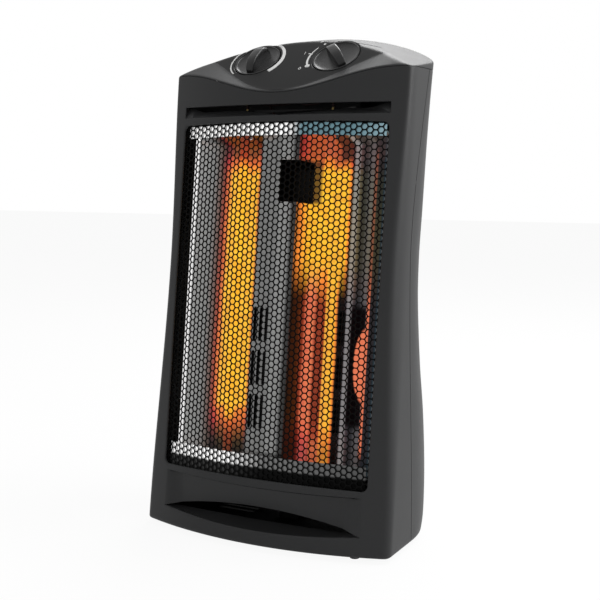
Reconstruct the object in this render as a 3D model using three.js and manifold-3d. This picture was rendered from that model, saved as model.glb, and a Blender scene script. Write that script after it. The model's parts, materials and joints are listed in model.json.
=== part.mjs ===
// A two-tube quartz tower heater, modelled as its separate pieces.
// Millimetres, +Z up. The front faces -Y and leans back. Left is -X, as seen by someone facing the heater.

import * as THREE from 'three';
import { mergeVertices } from 'three/addons/utils/BufferGeometryUtils.js';
import Module from 'manifold-3d';

const wasm = await Module();
wasm.setup();

const degrees = Math.PI / 180;

// Stock and clearances
const fit = 0.3;
const runningFit = 0.35;
const overrun = 60;
const wall = 2.4;
const sheet = 1;

// Body
const bodyHeight = 594;
const footHeight = 6;
const frontLean = 7.5 * degrees;
const bowRadius = 462;
const crownRadius = 381;
const crownRise = 8 * degrees;
const waistHeight = 330;
const waistTuck = 8.5;
const topTuck = 6;
const baseHalfWidth = 162;
const waistHalfWidth = baseHalfWidth - waistTuck;
const topHalfWidth = baseHalfWidth - topTuck;
const baseCornerWidth = 7;
const waistCornerWidth = 9.5;
const topCornerWidth = 5;
const baseCornerDepth = 9;
const waistCornerDepth = 28;
const topCornerDepth = 15;
const seamFootDepth = 95;
const seamWaistDepth = 104;
const seamTopDepth = 150;
const sideFlat = 2;
const rearWaistDepth = 200;
const rearBellyDepth = 233;
const rearTopDepth = 206;
const rearStationShares = [
  0.01, 0.034, 0.076, 0.15, 0.253, 0.337, 0.42, 0.488, 0.556, 0.64, 0.707, 0.79, 0.867, 0.943, 1.04];
const rearShares = [0.15, 0.64, 0.88, 1, 0.83, 0.39, 0.12, 0, 0.14, 0.42, 0.45, 0.33, 0.21, 0.18, 0.18];
const rearRoundness = 2.6;
const levelShares = [0, 0.005, 0.03, 0.075, 0.16, 0.26, 0.37, 0.49, 0.6, 0.7, 0.8, 0.9, 1.04];
const edgeRound = 3.5;
const bowSteps = 10;
const frontSteps = 5;
const cornerSteps = 3;
const rearSteps = 6;

// Top: two wings, the sloping panel plane and the crown
const seamCentreDrop = 71.6;
const seamSideDrop = 46;
const seamEndInset = 10;
const seamCentreHeight = bodyHeight - seamCentreDrop;
const seamSideHeight = bodyHeight - seamSideDrop;
const seamHalfSpan = topHalfWidth - seamEndInset;
const seamSteps = 12;
const capLip = 1.4;
const panelSlope = 40 * degrees;
const wingSlope = 24 * degrees;
const wingSteepeningShare = 0.3;
const wingBand = 40;

// Control panel, its wells and the knobs
const panelThickness = 2.2;
const panelRim = 1.4;
const panelSteps = 10;
const knobSpacing = 104.6;
const knobRise = 64;
const wellDepth = 8;
const wellWall = 1.8;
const knobRadius = 28.6;
const knobSideGap = 0.8;
const wellRadius = knobRadius + knobSideGap;
const knobRimLift = 0.4;
const knobBaseGap = 0.7;
const knobFloorDrop = 3.6;
const knobLipWidth = 1.6;
const knobBladeWidth = 9;
const knobBladeLift = 9;
const knobPocketRadius = 8.6;
const knobPocketDrop = 5.2;
const thermostatPointer = -5 * degrees;
const selectorPointer = 40 * degrees;

// Controls behind the panel
const shaftRadius = 2.9;
const shaftReach = 4;
const bushingRadius = 4.6;
const bushingLift = 2.3;
const nutRadius = 7;
const nutHeight = 2;
const thermostatWidth = 34;
const thermostatHeight = 28;
const thermostatDepth = 20;
const selectorWidth = 30;
const selectorHeight = 30;
const selectorDepth = 18;
const bladeTerminalWidth = 6.3;
const bladeTerminalLength = 8;
const bladeTerminalThickness = 0.8;

// Window, outlet slot and inlet scoop, in the bezel
const slotFrame = 21;
const slotHalfWidth = topHalfWidth - slotFrame;
const slotDrop = 27.4;
const slotHeight = 12.6;
const slotBottom = seamCentreHeight - slotDrop;
const slotTop = slotBottom + slotHeight;
const windowFrame = 19;
const windowBar = 6.9;
const windowBottom = 82;
const windowCorner = 6;
const windowHalfWidth = waistHalfWidth - windowFrame;
const windowTop = (slotBottom - windowBar) / Math.cos(frontLean);
const slotDepth = 11;
const slotRampRise = 6.5;
const slotRampDepth = 8;
const outletCount = 6;
const outletRib = 8;
const scoopFrame = 32;
const scoopBar = 9.8;
const scoopHalfWidth = baseHalfWidth - scoopFrame;
const scoopTop = windowBottom * Math.cos(frontLean) - scoopBar;
const scoopEdgeDepth = 1.5;
const scoopDepth = 15;
const lensDrop = 25.5;
const lensHeight = 23.5;
const lensEndDrop = 17;
const lensTop = scoopTop - lensDrop;
const lensBottom = lensTop - lensHeight;
const lensEndHeight = lensTop - lensEndDrop;
const lensDepth = 7;
const lensLipRise = 4;

// Grille: one perforated sheet folded along two lines
const grilleBorder = 3.1;
const grilleEdgeGap = 1.15;
const grilleCentreHalfWidth = 48.2;
const grillePitch = 31;
const grilleWeb = 2.6;

// Reflector, end plates and heat shield, measured square to the leaning front
const ridgeHalfWidth = 25;
const ridgeCrest = 17;
const ridgeEdge = 20.5;
const troughDepth = 62;
const panInset = 10.5;
const panHalfWidth = windowHalfWidth - panInset;
const panFlange = 7;
const troughWidthShares = [0, 0.05, 0.2, 0.37, 0.6, 0.84, 1];
const troughDepthShares = [0, 0.59, 0.93, 1, 0.9, 0.71, 0.49];
const bottomPlateRise = 12;
const bottomPlateHeight = windowBottom + bottomPlateRise;
const plateGap = 1;
const capChamfer = 1;
const plateRear = 71;
const topPlateDip = 1.7;
const topPlateDrop = 22.6;
const topPlateFrontHeight = windowTop - topPlateDip;
const topPlateRearHeight = topPlateFrontHeight - topPlateDrop;
const shieldGap = 5;
const shieldLap = 4;
const coolingSlotLength = 33;
const coolingSlotWidth = 3.4;
const coolingSlotPitch = 7.6;
const coolingRowPitch = 44;
const coolingRise = 102;
const coolingLowest = bottomPlateHeight + coolingRise;
const coolingRows = 3;
const coolingColumns = 3;
const coolingStart = 21;
const farCoolingStart = 101;
const cutoutLeft = 5;
const cutoutRight = 34;
const cutoutDrop = 46.3;
const cutoutHeight = 49;
const cutoutTop = windowTop - cutoutDrop;
const cutoutBottom = cutoutTop - cutoutHeight;

// Quartz tubes, coils and their ends
const tubeSpacing = 114;
const tubeDepth = 35;
const tubeRadius = 5.5;
const tubeWall = 1;
const tubeBelowPlate = 12;
const tubeAbovePlate = 5.4;
const tubeBottom = bottomPlateHeight - tubeBelowPlate;
const tubeTop = topPlateFrontHeight + tubeAbovePlate;
const capRadius = 8;
const capLength = 16;
const capEndWall = 3.5;
const pinRadius = 1.4;
const pinLength = 17;
const pinHeadThickness = 1;
const coilRadius = 3;
const coilWire = 0.6;
const coldEndLower = 36;
const coldEndUpper = 40;
const coilBottom = tubeBottom + coldEndLower;
const coilTop = tubeTop - coldEndUpper;
const coilCurls = 12;
const coilStepsPerCurl = 8;
const coilSides = 5;
const coilLeadLength = 9;
const bracketHalfWidth = 74;
const bracketLip = 12;
const bracketClearance = 6;

// Thermal cut-off behind the reflector's cut-out
const cutoffWidth = 25;
const cutoffHeight = 42;
const cutoffDepth = 19;
const cutoffRibs = 4;
const cutoffRibDepth = 2.5;

// Rear housing: louvres, grip and screw posts
const louvreWidth = 62;
const louvreHeight = 5;
const louvrePitch = 18;
const louvreInnerEdge = 9;
const louvreRows = 7;
const louvreLowest = 236;
const intakeRows = 3;
const intakeLowest = 92;
const gripHalfWidth = 56;
const gripDrop = 28;
const gripHeight = 42;
const gripReach = 24;
const gripTop = seamSideHeight - gripDrop;
const gripBottom = gripTop - gripHeight;
const gripInner = rearWaistDepth - gripReach;
const postInset = 14.5;
const postDrop = 3.4;
const postX = waistHalfWidth - postInset;
const lowerPostHeight = 48;
const upperPostHeight = seamCentreHeight - postDrop;
const postRadius = 4.5;
const pilotRadius = 1.9;
const pilotDepth = 18;
const sleeveRadius = 6.6;
const counterboreRadius = 4.3;
const shoulderDepth = 8;
const screwHeadRadius = 3.6;
const screwHeadHeight = 2.6;
const screwShankRadius = 1.6;
const screwLength = 20;

// Base
const baseThickness = 3;
const footRadius = 10;
const footChamfer = 1;
const footStemRadius = 3.6;
const footBarbRadius = 5.2;
const footBarbHeight = 3;
const footInset = 44;
const footX = baseHalfWidth - footInset;
const frontFootDepth = 36;
const rearFootInset = 47;
const rearFootDepth = rearBellyDepth - rearFootInset;
const rearFootShare = 0.84;
const bossRadius = 5;
const bossHeight = 22;
const bossWebWidth = 4;
const bezelBossInset = 12;
const bezelBossX = baseHalfWidth - bezelBossInset;
const bezelBossDepth = 66;
const rearBossX = 62;
const rearBossInset = 35;
const rearBossDepth = rearBellyDepth - rearBossInset;
const baseSlotLength = 50;
const baseSlotWidth = 5;
const baseSlotPitch = 12;
const baseSlotCount = 4;
const baseSlotDepth = 120;
const baseSlotX = 76;

// Tip-over switch
const tipX = 0;
const tipDepth = 112;
const plungerRadius = 4;
const plungerLift = 0.3;
const plungerTravel = 6;
const plungerCollarRadius = 7;
const plungerCollarHeight = 3;
const tipBodyWidth = 26;
const tipBodyHeight = 30;
const tipBodyWall = 3;

// Supply entry and wiring
const glandX = 36;
const glandHeight = 66;
const glandRadius = 6;
const glandBore = 3.4;
const glandFlange = 9;
const glandFlangeThickness = 2.4;
const glandMouth = 1;
const glandPadProud = 1.5;
const blockWidth = 46;
const blockDepth = 16;
const blockHeight = 14;
const blockX = 52;
const blockInset = 67;
const blockPlace = rearBellyDepth - blockInset;
const leadRadius = 1.5;
const leadBend = 8;
const overheadReach = 81;
const leadInset = 50;
const leadCorridor = rearWaistDepth - leadInset;
const leadSides = 8;
const leadSteps = 12;

// Materials
function finish(color, roughness, metalness = 0) {
  return new THREE.MeshStandardMaterial({ color, roughness, metalness });
}

const shellPlastic = finish(0x3b3c3d, 0.45);
const panelPlastic = finish(0x2b2c2d, 0.4);
const knobPlastic = finish(0x303132, 0.42);
const blackSteel = finish(0x0c0c0d, 0.5, 0.4);
const brightSteel = finish(0xc9c9c6, 0.2, 1);
const plainSteel = finish(0x9a9c9e, 0.4, 0.9);
const quartz = finish(0xe8d9c0, 0.1);
const glowingWire = finish(0xff8a1e, 0.5, 0.3);
const ceramic = finish(0xe9e6df, 0.6);
const brass = finish(0xb9954a, 0.35, 1);
const blackPlastic = finish(0x151516, 0.55);
const rubber = finish(0x1b1b1b, 0.9);
const redLead = finish(0x8c2f26, 0.6);
const whiteLead = finish(0xd8d6d0, 0.6);

// A closed solid from a geometry, and a geometry from a solid

function solidOf(geometry) {
  const bare = geometry.index ? geometry.toNonIndexed() : geometry.clone();
  bare.deleteAttribute('normal');
  bare.deleteAttribute('uv');
  const merged = mergeVertices(bare);
  const index = merged.index.array;
  const corners = [];
  for (let i = 0; i < index.length; i += 3) {
    const [a, b, c] = [index[i], index[i + 1], index[i + 2]];
    if (a !== b && b !== c && c !== a) corners.push(a, b, c);
  }
  const mesh = new wasm.Mesh({
    numProp: 3,
    vertProperties: new Float32Array(merged.attributes.position.array),
    triVerts: Uint32Array.from(corners),
  });
  return new wasm.Manifold(mesh);
}

function geometryOf(solid) {
  const mesh = solid.getMesh();
  const geometry = new THREE.BufferGeometry();
  geometry.setAttribute('position', new THREE.BufferAttribute(Float32Array.from(mesh.vertProperties), 3));
  geometry.setIndex(new THREE.BufferAttribute(Uint32Array.from(mesh.triVerts), 1));
  return geometry;
}

// Basic forms, each returned as a closed solid

const along = {
  x: new THREE.Matrix4().makeBasis(
    new THREE.Vector3(0, 1, 0), new THREE.Vector3(0, 0, 1), new THREE.Vector3(1, 0, 0)),
  y: new THREE.Matrix4().makeBasis(
    new THREE.Vector3(1, 0, 0), new THREE.Vector3(0, 0, 1), new THREE.Vector3(0, -1, 0)),
  z: new THREE.Matrix4(),
};

function polygonShape(points) {
  return new THREE.Shape(points.map(([a, b]) => new THREE.Vector2(a, b)));
}

// A flat outline drawn in the two other axes, in their order, and run along the named axis from low to high
function extruded(outline, axis, low, high, curveSegments = 6) {
  const shape = Array.isArray(outline) ? polygonShape(outline) : outline;
  const depth = high - low;
  const geometry = new THREE.ExtrudeGeometry(shape, { depth, bevelEnabled: false, curveSegments });
  const start = axis === 'y' ? high : low;
  return solidOf(geometry.translate(0, 0, axis === 'y' ? -start : start).applyMatrix4(along[axis]));
}

function box(lowX, highX, lowY, highY, lowZ, highZ) {
  const outline = [[lowX, lowY], [highX, lowY], [highX, highY], [lowX, highY]];
  return extruded(outline, 'z', lowZ, highZ);
}

// A turned form: pairs of radius and height, run round the Z axis
function turned(profile, segments = 20) {
  const points = profile.map(([radius, height]) => new THREE.Vector2(radius, height));
  return solidOf(new THREE.LatheGeometry(points, segments).applyMatrix4(along.y));
}

function cylinder(radius, low, high, segments = 16) {
  return turned([[0, low], [radius, low], [radius, high], [0, high]], segments);
}

function placed(solid, x, y, z) {
  return solid.translate([x, y, z]);
}

function facing(solid, axis) {
  return axis === 'y' ? solid.rotate([-90, 0, 0]) : solid.rotate([0, 90, 0]);
}

function roundedRectangle(lowX, highX, lowY, highY, radius) {
  const shape = new THREE.Shape();
  shape.moveTo(lowX + radius, lowY);
  shape.lineTo(highX - radius, lowY);
  shape.absarc(highX - radius, lowY + radius, radius, -Math.PI / 2, 0);
  shape.lineTo(highX, highY - radius);
  shape.absarc(highX - radius, highY - radius, radius, 0, Math.PI / 2);
  shape.lineTo(lowX + radius, highY);
  shape.absarc(lowX + radius, highY - radius, radius, Math.PI / 2, Math.PI);
  shape.lineTo(lowX, lowY + radius);
  shape.absarc(lowX + radius, lowY + radius, radius, Math.PI, 3 * Math.PI / 2);
  return shape;
}

// A solid through closed rings of points, each ring flat and square to the named axis
function lofted(sections, axis) {
  const flat = axis === 'x'
    ? (point) => new THREE.Vector2(point.y, point.z)
    : (point) => new THREE.Vector2(point.x, point.y);
  const clockwise = THREE.ShapeUtils.isClockWise(sections[0].map(flat));
  const rings = clockwise ? sections.map((ring) => ring.slice().reverse()) : sections;
  const count = rings[0].length;
  const positions = rings.flatMap((ring) => ring.flatMap((point) => [point.x, point.y, point.z]));
  const index = [];
  for (let ring = 0; ring + 1 < rings.length; ring += 1) {
    for (let i = 0; i < count; i += 1) {
      const a = ring * count + i;
      const b = ring * count + ((i + 1) % count);
      index.push(a, b, b + count, a, b + count, a + count);
    }
  }
  const capOf = (ring) => THREE.ShapeUtils.triangulateShape(ring.map(flat), []);
  const last = (rings.length - 1) * count;
  for (const [a, b, c] of capOf(rings[0])) index.push(a, c, b);
  for (const [a, b, c] of capOf(rings[rings.length - 1])) index.push(last + a, last + b, last + c);
  const geometry = new THREE.BufferGeometry();
  geometry.setAttribute('position', new THREE.Float32BufferAttribute(positions, 3));
  geometry.setIndex(index);
  return solidOf(signedVolume(geometry) < 0 ? reversed(geometry) : geometry);
}

function signedVolume(geometry) {
  const places = geometry.attributes.position;
  const at = (i) => new THREE.Vector3().fromBufferAttribute(places, geometry.index.getX(i));
  let sum = 0;
  for (let i = 0; i < geometry.index.count; i += 3) sum += at(i).dot(at(i + 1).cross(at(i + 2)));
  return sum;
}

function reversed(geometry) {
  const index = Array.from(geometry.index.array);
  for (let i = 0; i < index.length; i += 3) [index[i + 1], index[i + 2]] = [index[i + 2], index[i + 1]];
  geometry.setIndex(index);
  return geometry;
}

// Smooth curves between named sizes

const eased = (share) => share * share * (3 - 2 * share);
const mixed = (from, to, share) => from + (to - from) * share;
const clamped = (value) => Math.min(1, Math.max(0, value));

// Base to waist to top, each an easy curve over the height
function waisted(base, waist, top, z) {
  if (z < waistHeight) return mixed(base, waist, eased(clamped(z / waistHeight)));
  return mixed(waist, top, eased(clamped((z - waistHeight) / (seamSideHeight - waistHeight))));
}

// A smooth curve through values at rising stations
function throughStations(stations, values, at) {
  let i = 0;
  while (i + 2 < stations.length && at > stations[i + 1]) i += 1;
  const slope = (k) => {
    const low = Math.max(0, k - 1);
    const high = Math.min(stations.length - 1, k + 1);
    return (values[high] - values[low]) / (stations[high] - stations[low]);
  };
  const span = stations[i + 1] - stations[i];
  const t = clamped((at - stations[i]) / span);
  const [t2, t3] = [t * t, t * t * t];
  return values[i] * (2 * t3 - 3 * t2 + 1) + values[i + 1] * (3 * t2 - 2 * t3)
    + span * (slope(i) * (t3 - 2 * t2 + t) + slope(i + 1) * (t3 - t2));
}

// The body's surfaces

const bow = (x) => bowRadius - Math.sqrt(bowRadius * bowRadius - x * x);
const frontDepth = (z) => z * Math.tan(frontLean);
const cornerWidth = (z) => waisted(baseCornerWidth, waistCornerWidth, topCornerWidth, z);
const sideHalfWidth = (z) => waisted(baseHalfWidth, waistHalfWidth, topHalfWidth, z);
const cornerDepth = (z) => waisted(baseCornerDepth, waistCornerDepth, topCornerDepth, z);
const crownDip = (x) => crownRadius - Math.sqrt(crownRadius * crownRadius - x * x);
const crownHeight = (x, y) => bodyHeight - crownDip(x) - (rearTopDepth - y) * Math.tan(crownRise);

function seamDepth(z) {
  if (z < waistHeight) return mixed(seamFootDepth, seamWaistDepth, z / waistHeight);
  const share = (z - waistHeight) / (seamSideHeight - waistHeight);
  return mixed(seamWaistDepth, seamTopDepth, Math.pow(share, 3 / 2));
}

function rearDepth(z) {
  const share = throughStations(rearStationShares, rearShares, z / bodyHeight);
  return mixed(rearWaistDepth, rearBellyDepth, share);
}

function seamHeight(x) {
  const share = clamped(Math.abs(x) / seamHalfSpan);
  return mixed(seamCentreHeight, seamSideHeight, (1 - Math.cos(Math.PI * share)) / 2);
}

const wingSteepening = (x) => wingSteepeningShare * Math.pow(Math.abs(x) / seamHalfSpan, 3);
const wingTangent = (x) => Math.tan(wingSlope) + wingSteepening(x);
const wingHeight = (x, y) => seamHeight(x) + (y - frontDepth(seamHeight(x)) - bow(x)) * wingTangent(x);
const panelFootDepth = frontDepth(seamCentreHeight);
const panelHeight = (y) => seamCentreHeight + (y - panelFootDepth) * Math.tan(panelSlope);

// One closed ring round the body at a height, moved inwards by an inset
function bodyRing(z, inset) {
  const [face, side, front, seam, rear] = [
    sideHalfWidth(z) - cornerWidth(z), sideHalfWidth(z), frontDepth(z), seamDepth(z), rearDepth(z)];
  const half = [];
  for (let i = 0; i <= frontSteps; i += 1) {
    const x = face * i / frontSteps;
    half.push(new THREE.Vector2(x, front + bow(x)));
  }
  const corner = new THREE.QuadraticBezierCurve(
    half[frontSteps],
    new THREE.Vector2(side, front + bow(side)),
    new THREE.Vector2(side, front + bow(side) + cornerDepth(z)));
  const sideEnd = Math.max(seam, corner.v2.y + sideFlat);
  half.push(...corner.getPoints(cornerSteps).slice(1), new THREE.Vector2(side, sideEnd));
  for (let i = 1; i <= rearSteps; i += 1) {
    const angle = Math.PI / 2 * i / rearSteps;
    const across = i === rearSteps ? 0 : Math.pow(Math.cos(angle), 2 / rearRoundness);
    const back = Math.pow(Math.sin(angle), 2 / rearRoundness);
    half.push(new THREE.Vector2(side * across, mixed(sideEnd, rear, back)));
  }
  const mirrored = half.slice(1, -1).reverse().map((point) => new THREE.Vector2(-point.x, point.y));
  return insetRing([...half, ...mirrored], inset).map((point) => new THREE.Vector3(point.x, point.y, z));
}

function insetRing(ring, inset) {
  return ring.map((point, i) => {
    const before = ring[(i + ring.length - 1) % ring.length];
    const after = ring[(i + 1) % ring.length];
    const run = after.clone().sub(before).normalize();
    return new THREE.Vector2(point.x - run.y * inset, point.y + run.x * inset);
  });
}

const edgeInset = (z) => edgeRound * clamped(1 - (z - footHeight) / edgeRound);

function bodyColumn(inset, drop) {
  const heights = levelShares.map((share) => footHeight + share * (bodyHeight - footHeight));
  heights[0] -= drop;
  return lofted(heights.map((z) => bodyRing(z, inset + edgeInset(z))), 'z');
}

// Everything under the crown and under the wings or the panel plane, each lowered by its own drop
function underTop(crownDrop, wingDrop, panelDrop) {
  const side = baseHalfWidth + overrun;
  const reach = rearBellyDepth + overrun;
  const stations = Array.from({ length: seamSteps + 1 }, (_, i) => mixed(-side, side, i / seamSteps));
  const sectionAt = (x, depths, heightAt) => [
    new THREE.Vector3(x, -overrun, -overrun), new THREE.Vector3(x, reach, -overrun),
    ...depths.map((y) => new THREE.Vector3(x, y, heightAt(x, y))).reverse()];
  const seamStations = Array.from({ length: 2 * seamSteps + 1 }, (_, i) => mixed(-seamHalfSpan, seamHalfSpan,
    i / seamSteps / 2));
  const wings = lofted([-side, ...seamStations, side].map((x) => {
    const edge = frontDepth(seamHeight(x)) + bow(x);
    const depths = [-overrun, edge, edge + wingBand, edge + 2 * wingBand, reach];
    return sectionAt(x, depths, (at, y) => wingHeight(at, y) - wingDrop);
  }), 'x');
  const whole = [-overrun, reach];
  const panelSection = (x) => sectionAt(x, whole, (at, y) => panelHeight(y) - panelDrop);
  const crownSection = (x) => sectionAt(x, whole, (at, y) => crownHeight(at, y) - crownDrop);
  const panel = lofted([-side, side].map(panelSection), 'x');
  const crown = lofted(stations.map(crownSection), 'x');
  return wings.add(panel).intersect(crown);
}

const panelSeat = panelThickness + fit;
const outerBody = bodyColumn(0, 0).intersect(underTop(0, 0, 0));
const innerBody = bodyColumn(wall, overrun).intersect(
  underTop(wall, wall / Math.cos(wingSlope), (panelSeat + wall) / Math.cos(panelSlope)));
const bodyShell = outerBody.subtract(innerBody);

// Regions that part the shell into bezel, rear housing and cap, each pulled back by half a seam

function aheadOfSeam(pull) {
  const reach = baseHalfWidth + overrun;
  const outline = [[-overrun, -overrun]];
  for (let i = 0; i <= seamSteps; i += 1) {
    const z = mixed(-overrun, bodyHeight + overrun, i / seamSteps);
    outline.push([seamDepth(Math.min(z, seamSideHeight)) - pull, z]);
  }
  outline.push([-overrun, bodyHeight + overrun]);
  return extruded(outline, 'x', -reach, reach);
}

function aboveSeam(raise) {
  const reach = baseHalfWidth + overrun;
  const outline = [[-reach, seamSideHeight - capLip + raise]];
  for (let i = 0; i <= 2 * seamSteps; i += 1) {
    const x = mixed(-seamHalfSpan, seamHalfSpan, i / seamSteps / 2);
    outline.push([x, seamHeight(x) - capLip + raise]);
  }
  outline.push([reach, seamSideHeight - capLip + raise]);
  outline.push([reach, bodyHeight + overrun], [-reach, bodyHeight + overrun]);
  const rear = box(-reach, reach, seamTopDepth, rearBellyDepth + overrun,
    seamSideHeight - capLip + raise, bodyHeight + overrun);
  return extruded(outline, 'y', -overrun, seamTopDepth).add(rear);
}

// A solid that follows the bowed, leaning front: its section at each place is pairs of depth and height
function bowedLoft(halfWidth, steps, sectionAt, centre = 0) {
  const rings = Array.from({ length: steps + 1 }, (_, i) => {
    const x = centre + mixed(-halfWidth, halfWidth, i / steps);
    return sectionAt(x).map(([depth, z]) => new THREE.Vector3(x, frontDepth(z) + bow(x) + depth, z));
  });
  return lofted(rings, 'x');
}

// Turns what is modelled upright so that it leans with the front
const leaned = (solid) => solid.rotate([-frontLean / degrees, 0, 0]);

// Bezel

function scoop(grow) {
  const halfWidth = scoopHalfWidth + grow;
  const front = grow > 0 ? wall / 2 : -overrun;
  return bowedLoft(halfWidth, bowSteps, (x) => {
    const fade = Math.max(1 / bowRadius, 1 - Math.pow(x / halfWidth, 2));
    const ceiling = mixed(lensEndHeight, lensTop, fade) + grow;
    const lip = mixed(lensEndHeight, lensBottom, fade) - grow;
    const depth = mixed(scoopEdgeDepth, scoopDepth, fade) + grow;
    const lens = lensDepth * fade;
    return [
      [front, scoopTop + grow], [scoopEdgeDepth + grow, scoopTop + grow], [depth, ceiling],
      [depth + lens, ceiling - lens / 2], [depth + lens, lip + lensLipRise * fade], [front, lip]];
  });
}

function outletSlot(grow) {
  const front = grow > 0 ? wall / 2 : -overrun;
  const ramp = grow > 0
    ? [[front, slotBottom - grow], [slotDepth + grow, slotBottom - grow]]
    : [
      [front, slotBottom + front * slotRampRise / slotRampDepth],
      [slotRampDepth, slotBottom + slotRampRise],
      [slotDepth, slotBottom + slotRampRise]];
  return bowedLoft(slotHalfWidth + grow, bowSteps, () => [
    ...ramp, [slotDepth + grow, slotTop + grow], [front, slotTop + grow]]);
}

function outletOpenings() {
  const pitch = 2 * slotHalfWidth / outletCount;
  const half = (pitch - outletRib) / 2;
  const low = slotBottom + slotRampRise;
  return Array.from({ length: outletCount }, (_, i) => bowedLoft(half, 2, () => [
    [slotDepth - fit, low], [slotDepth + overrun / 2, low],
    [slotDepth + overrun / 2, slotTop], [slotDepth - fit, slotTop],
  ], (i + 1 / 2) * pitch - slotHalfWidth));
}

const postPlaces = [lowerPostHeight, upperPostHeight].flatMap((z) => [[-1, z], [1, z]]);

function bezelPost(side, z) {
  const start = frontDepth(z) + bow(postX) + wall / 2;
  const end = seamDepth(z) - fit / 2;
  const post = facing(cylinder(postRadius, start, end, 12), 'y');
  const pilot = facing(cylinder(pilotRadius, end - pilotDepth, end + overrun, 10), 'y');
  return placed(post.subtract(pilot), side * postX, 0, z);
}

// A boss that the base plate is screwed to, webbed out to the shell
function baseBoss(x, y, outward) {
  const low = footHeight + baseThickness + fit;
  const high = low + bossHeight;
  const web = outward === 'x'
    ? box(Math.min(x, 2 * x), Math.max(x, 2 * x), y - bossWebWidth / 2, y + bossWebWidth / 2, low, high)
    : box(x - bossWebWidth / 2, x + bossWebWidth / 2, y, y + overrun, low, high);
  const post = placed(cylinder(bossRadius, low, high, 12), x, y, 0);
  const pilot = placed(cylinder(pilotRadius, low - overrun, low + pilotDepth, 10), x, y, 0);
  return post.add(web).intersect(outerBody).subtract(pilot);
}

function makeBezel() {
  const window = leaned(extruded(
    roundedRectangle(-windowHalfWidth, windowHalfWidth, windowBottom, windowTop, windowCorner),
    'y', -overrun, overrun, 3));
  let bezel = bodyShell.intersect(aheadOfSeam(fit / 2)).subtract(aboveSeam(-fit / 2));
  const trays = scoop(wall).add(outletSlot(wall)).intersect(outerBody);
  bezel = bezel.add(trays);
  for (const [side, z] of postPlaces) bezel = bezel.add(bezelPost(side, z).intersect(outerBody));
  for (const side of [-1, 1]) bezel = bezel.add(baseBoss(side * bezelBossX, bezelBossDepth, 'x'));
  bezel = bezel.subtract(scoop(0)).subtract(outletSlot(0)).subtract(window);
  for (const opening of outletOpenings()) bezel = bezel.subtract(opening);
  return bezel;
}

// Rear housing

function rearSleeve(side, z) {
  const start = seamDepth(z) + fit / 2;
  const sleeve = facing(cylinder(sleeveRadius, start, rearBellyDepth + overrun, 12), 'y');
  return placed(sleeve, side * postX, 0, z).intersect(outerBody);
}

function rearSleeveBore(side, z) {
  const start = seamDepth(z) + fit / 2;
  const deep = cylinder(counterboreRadius, start + shoulderDepth, rearBellyDepth + overrun, 12);
  const counterbore = facing(deep, 'y');
  const through = facing(cylinder(pilotRadius, start - overrun, start + overrun, 10), 'y');
  return placed(counterbore.add(through), side * postX, 0, z);
}

function louvres(rows, lowest) {
  const slots = [];
  for (let row = 0; row < rows; row += 1) {
    for (const side of [-1, 1]) {
      const z = lowest + row * louvrePitch;
      const inner = side * louvreInnerEdge;
      const outer = side * (louvreInnerEdge + louvreWidth);
      slots.push(box(Math.min(inner, outer), Math.max(inner, outer), rearWaistDepth - overrun / 2,
        rearBellyDepth + overrun, z, z + louvreHeight));
    }
  }
  return slots;
}

function gripRecess() {
  return box(-gripHalfWidth, gripHalfWidth, gripInner, rearBellyDepth + overrun, gripBottom, gripTop);
}

function gripBlock() {
  return box(-gripHalfWidth - wall, gripHalfWidth + wall, gripInner - wall, rearBellyDepth + overrun,
    gripBottom - wall, gripTop + wall).intersect(outerBody);
}

function makeRearHousing() {
  let housing = bodyShell.subtract(aheadOfSeam(-fit / 2)).subtract(aboveSeam(-fit / 2));
  housing = housing.add(gripBlock());
  for (const [side, z] of postPlaces) housing = housing.add(rearSleeve(side, z));
  for (const side of [-1, 1]) housing = housing.add(baseBoss(side * rearBossX, rearBossDepth, 'y'));
  const pad = cylinder(glandFlange + glandPadProud, -wall - glandPadProud, glandPadProud, 20);
  const glandDepth = rearSurface(glandX, glandHeight);
  const atGland = (solid) => placed(facing(solid, 'y'), glandX, glandDepth, glandHeight);
  housing = housing.add(atGland(pad));
  for (const [side, z] of postPlaces) housing = housing.subtract(rearSleeveBore(side, z));
  for (const slot of [...louvres(louvreRows, louvreLowest), ...louvres(intakeRows, intakeLowest)]) {
    housing = housing.subtract(slot);
  }
  const glandHole = cylinder(glandRadius + fit, -overrun, overrun, 14);
  const outerSeat = cylinder(glandFlange + fit, glandPadProud, overrun, 20);
  const innerFace = -wall - glandPadProud;
  const innerSeat = cylinder(glandFlange + fit, innerFace - overrun / 3, innerFace, 20);
  housing = housing.subtract(atGland(glandHole)).subtract(atGland(outerSeat)).subtract(atGland(innerSeat));
  return housing.subtract(gripRecess());
}

// Panel frame: X across, Y up the slope and Z out of the panel, from the lowest point of the seam

const panelFrame = new THREE.Group();
panelFrame.position.set(0, panelFootDepth, seamCentreHeight);
panelFrame.rotation.x = panelSlope;
const onPanel = (solid) => placed(
  solid.rotate([panelSlope / degrees, 0, 0]), 0, panelFootDepth, seamCentreHeight);

// Where the panel plane meets the wings below and the crown above, as distances up the slope
function panelLow(x) {
  const slopeGap = Math.tan(panelSlope) - wingTangent(x);
  return (wingHeight(x, panelFootDepth) - seamCentreHeight) / slopeGap / Math.cos(panelSlope);
}

const crownClosing = Math.sin(panelSlope) - Math.cos(panelSlope) * Math.tan(crownRise);
const panelHigh = (x) => (crownHeight(x, panelFootDepth) - seamCentreHeight) / crownClosing;

function panelOutline(rim) {
  let end = seamHalfSpan;
  while (panelHigh(end) - panelLow(end) < 3 * rim) end -= rim;
  const across = Array.from({ length: 2 * panelSteps + 1 }, (_, i) => mixed(-end, end, i / panelSteps / 2));
  const low = across.map((x) => [x, panelLow(x) + rim]);
  const high = across.map((x) => [-x, panelHigh(x) - rim]);
  return [...low, ...high];
}

const knobPlaces = { thermostat: -knobSpacing / 2, selector: knobSpacing / 2 };
const wellFloor = -wellDepth;

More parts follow.
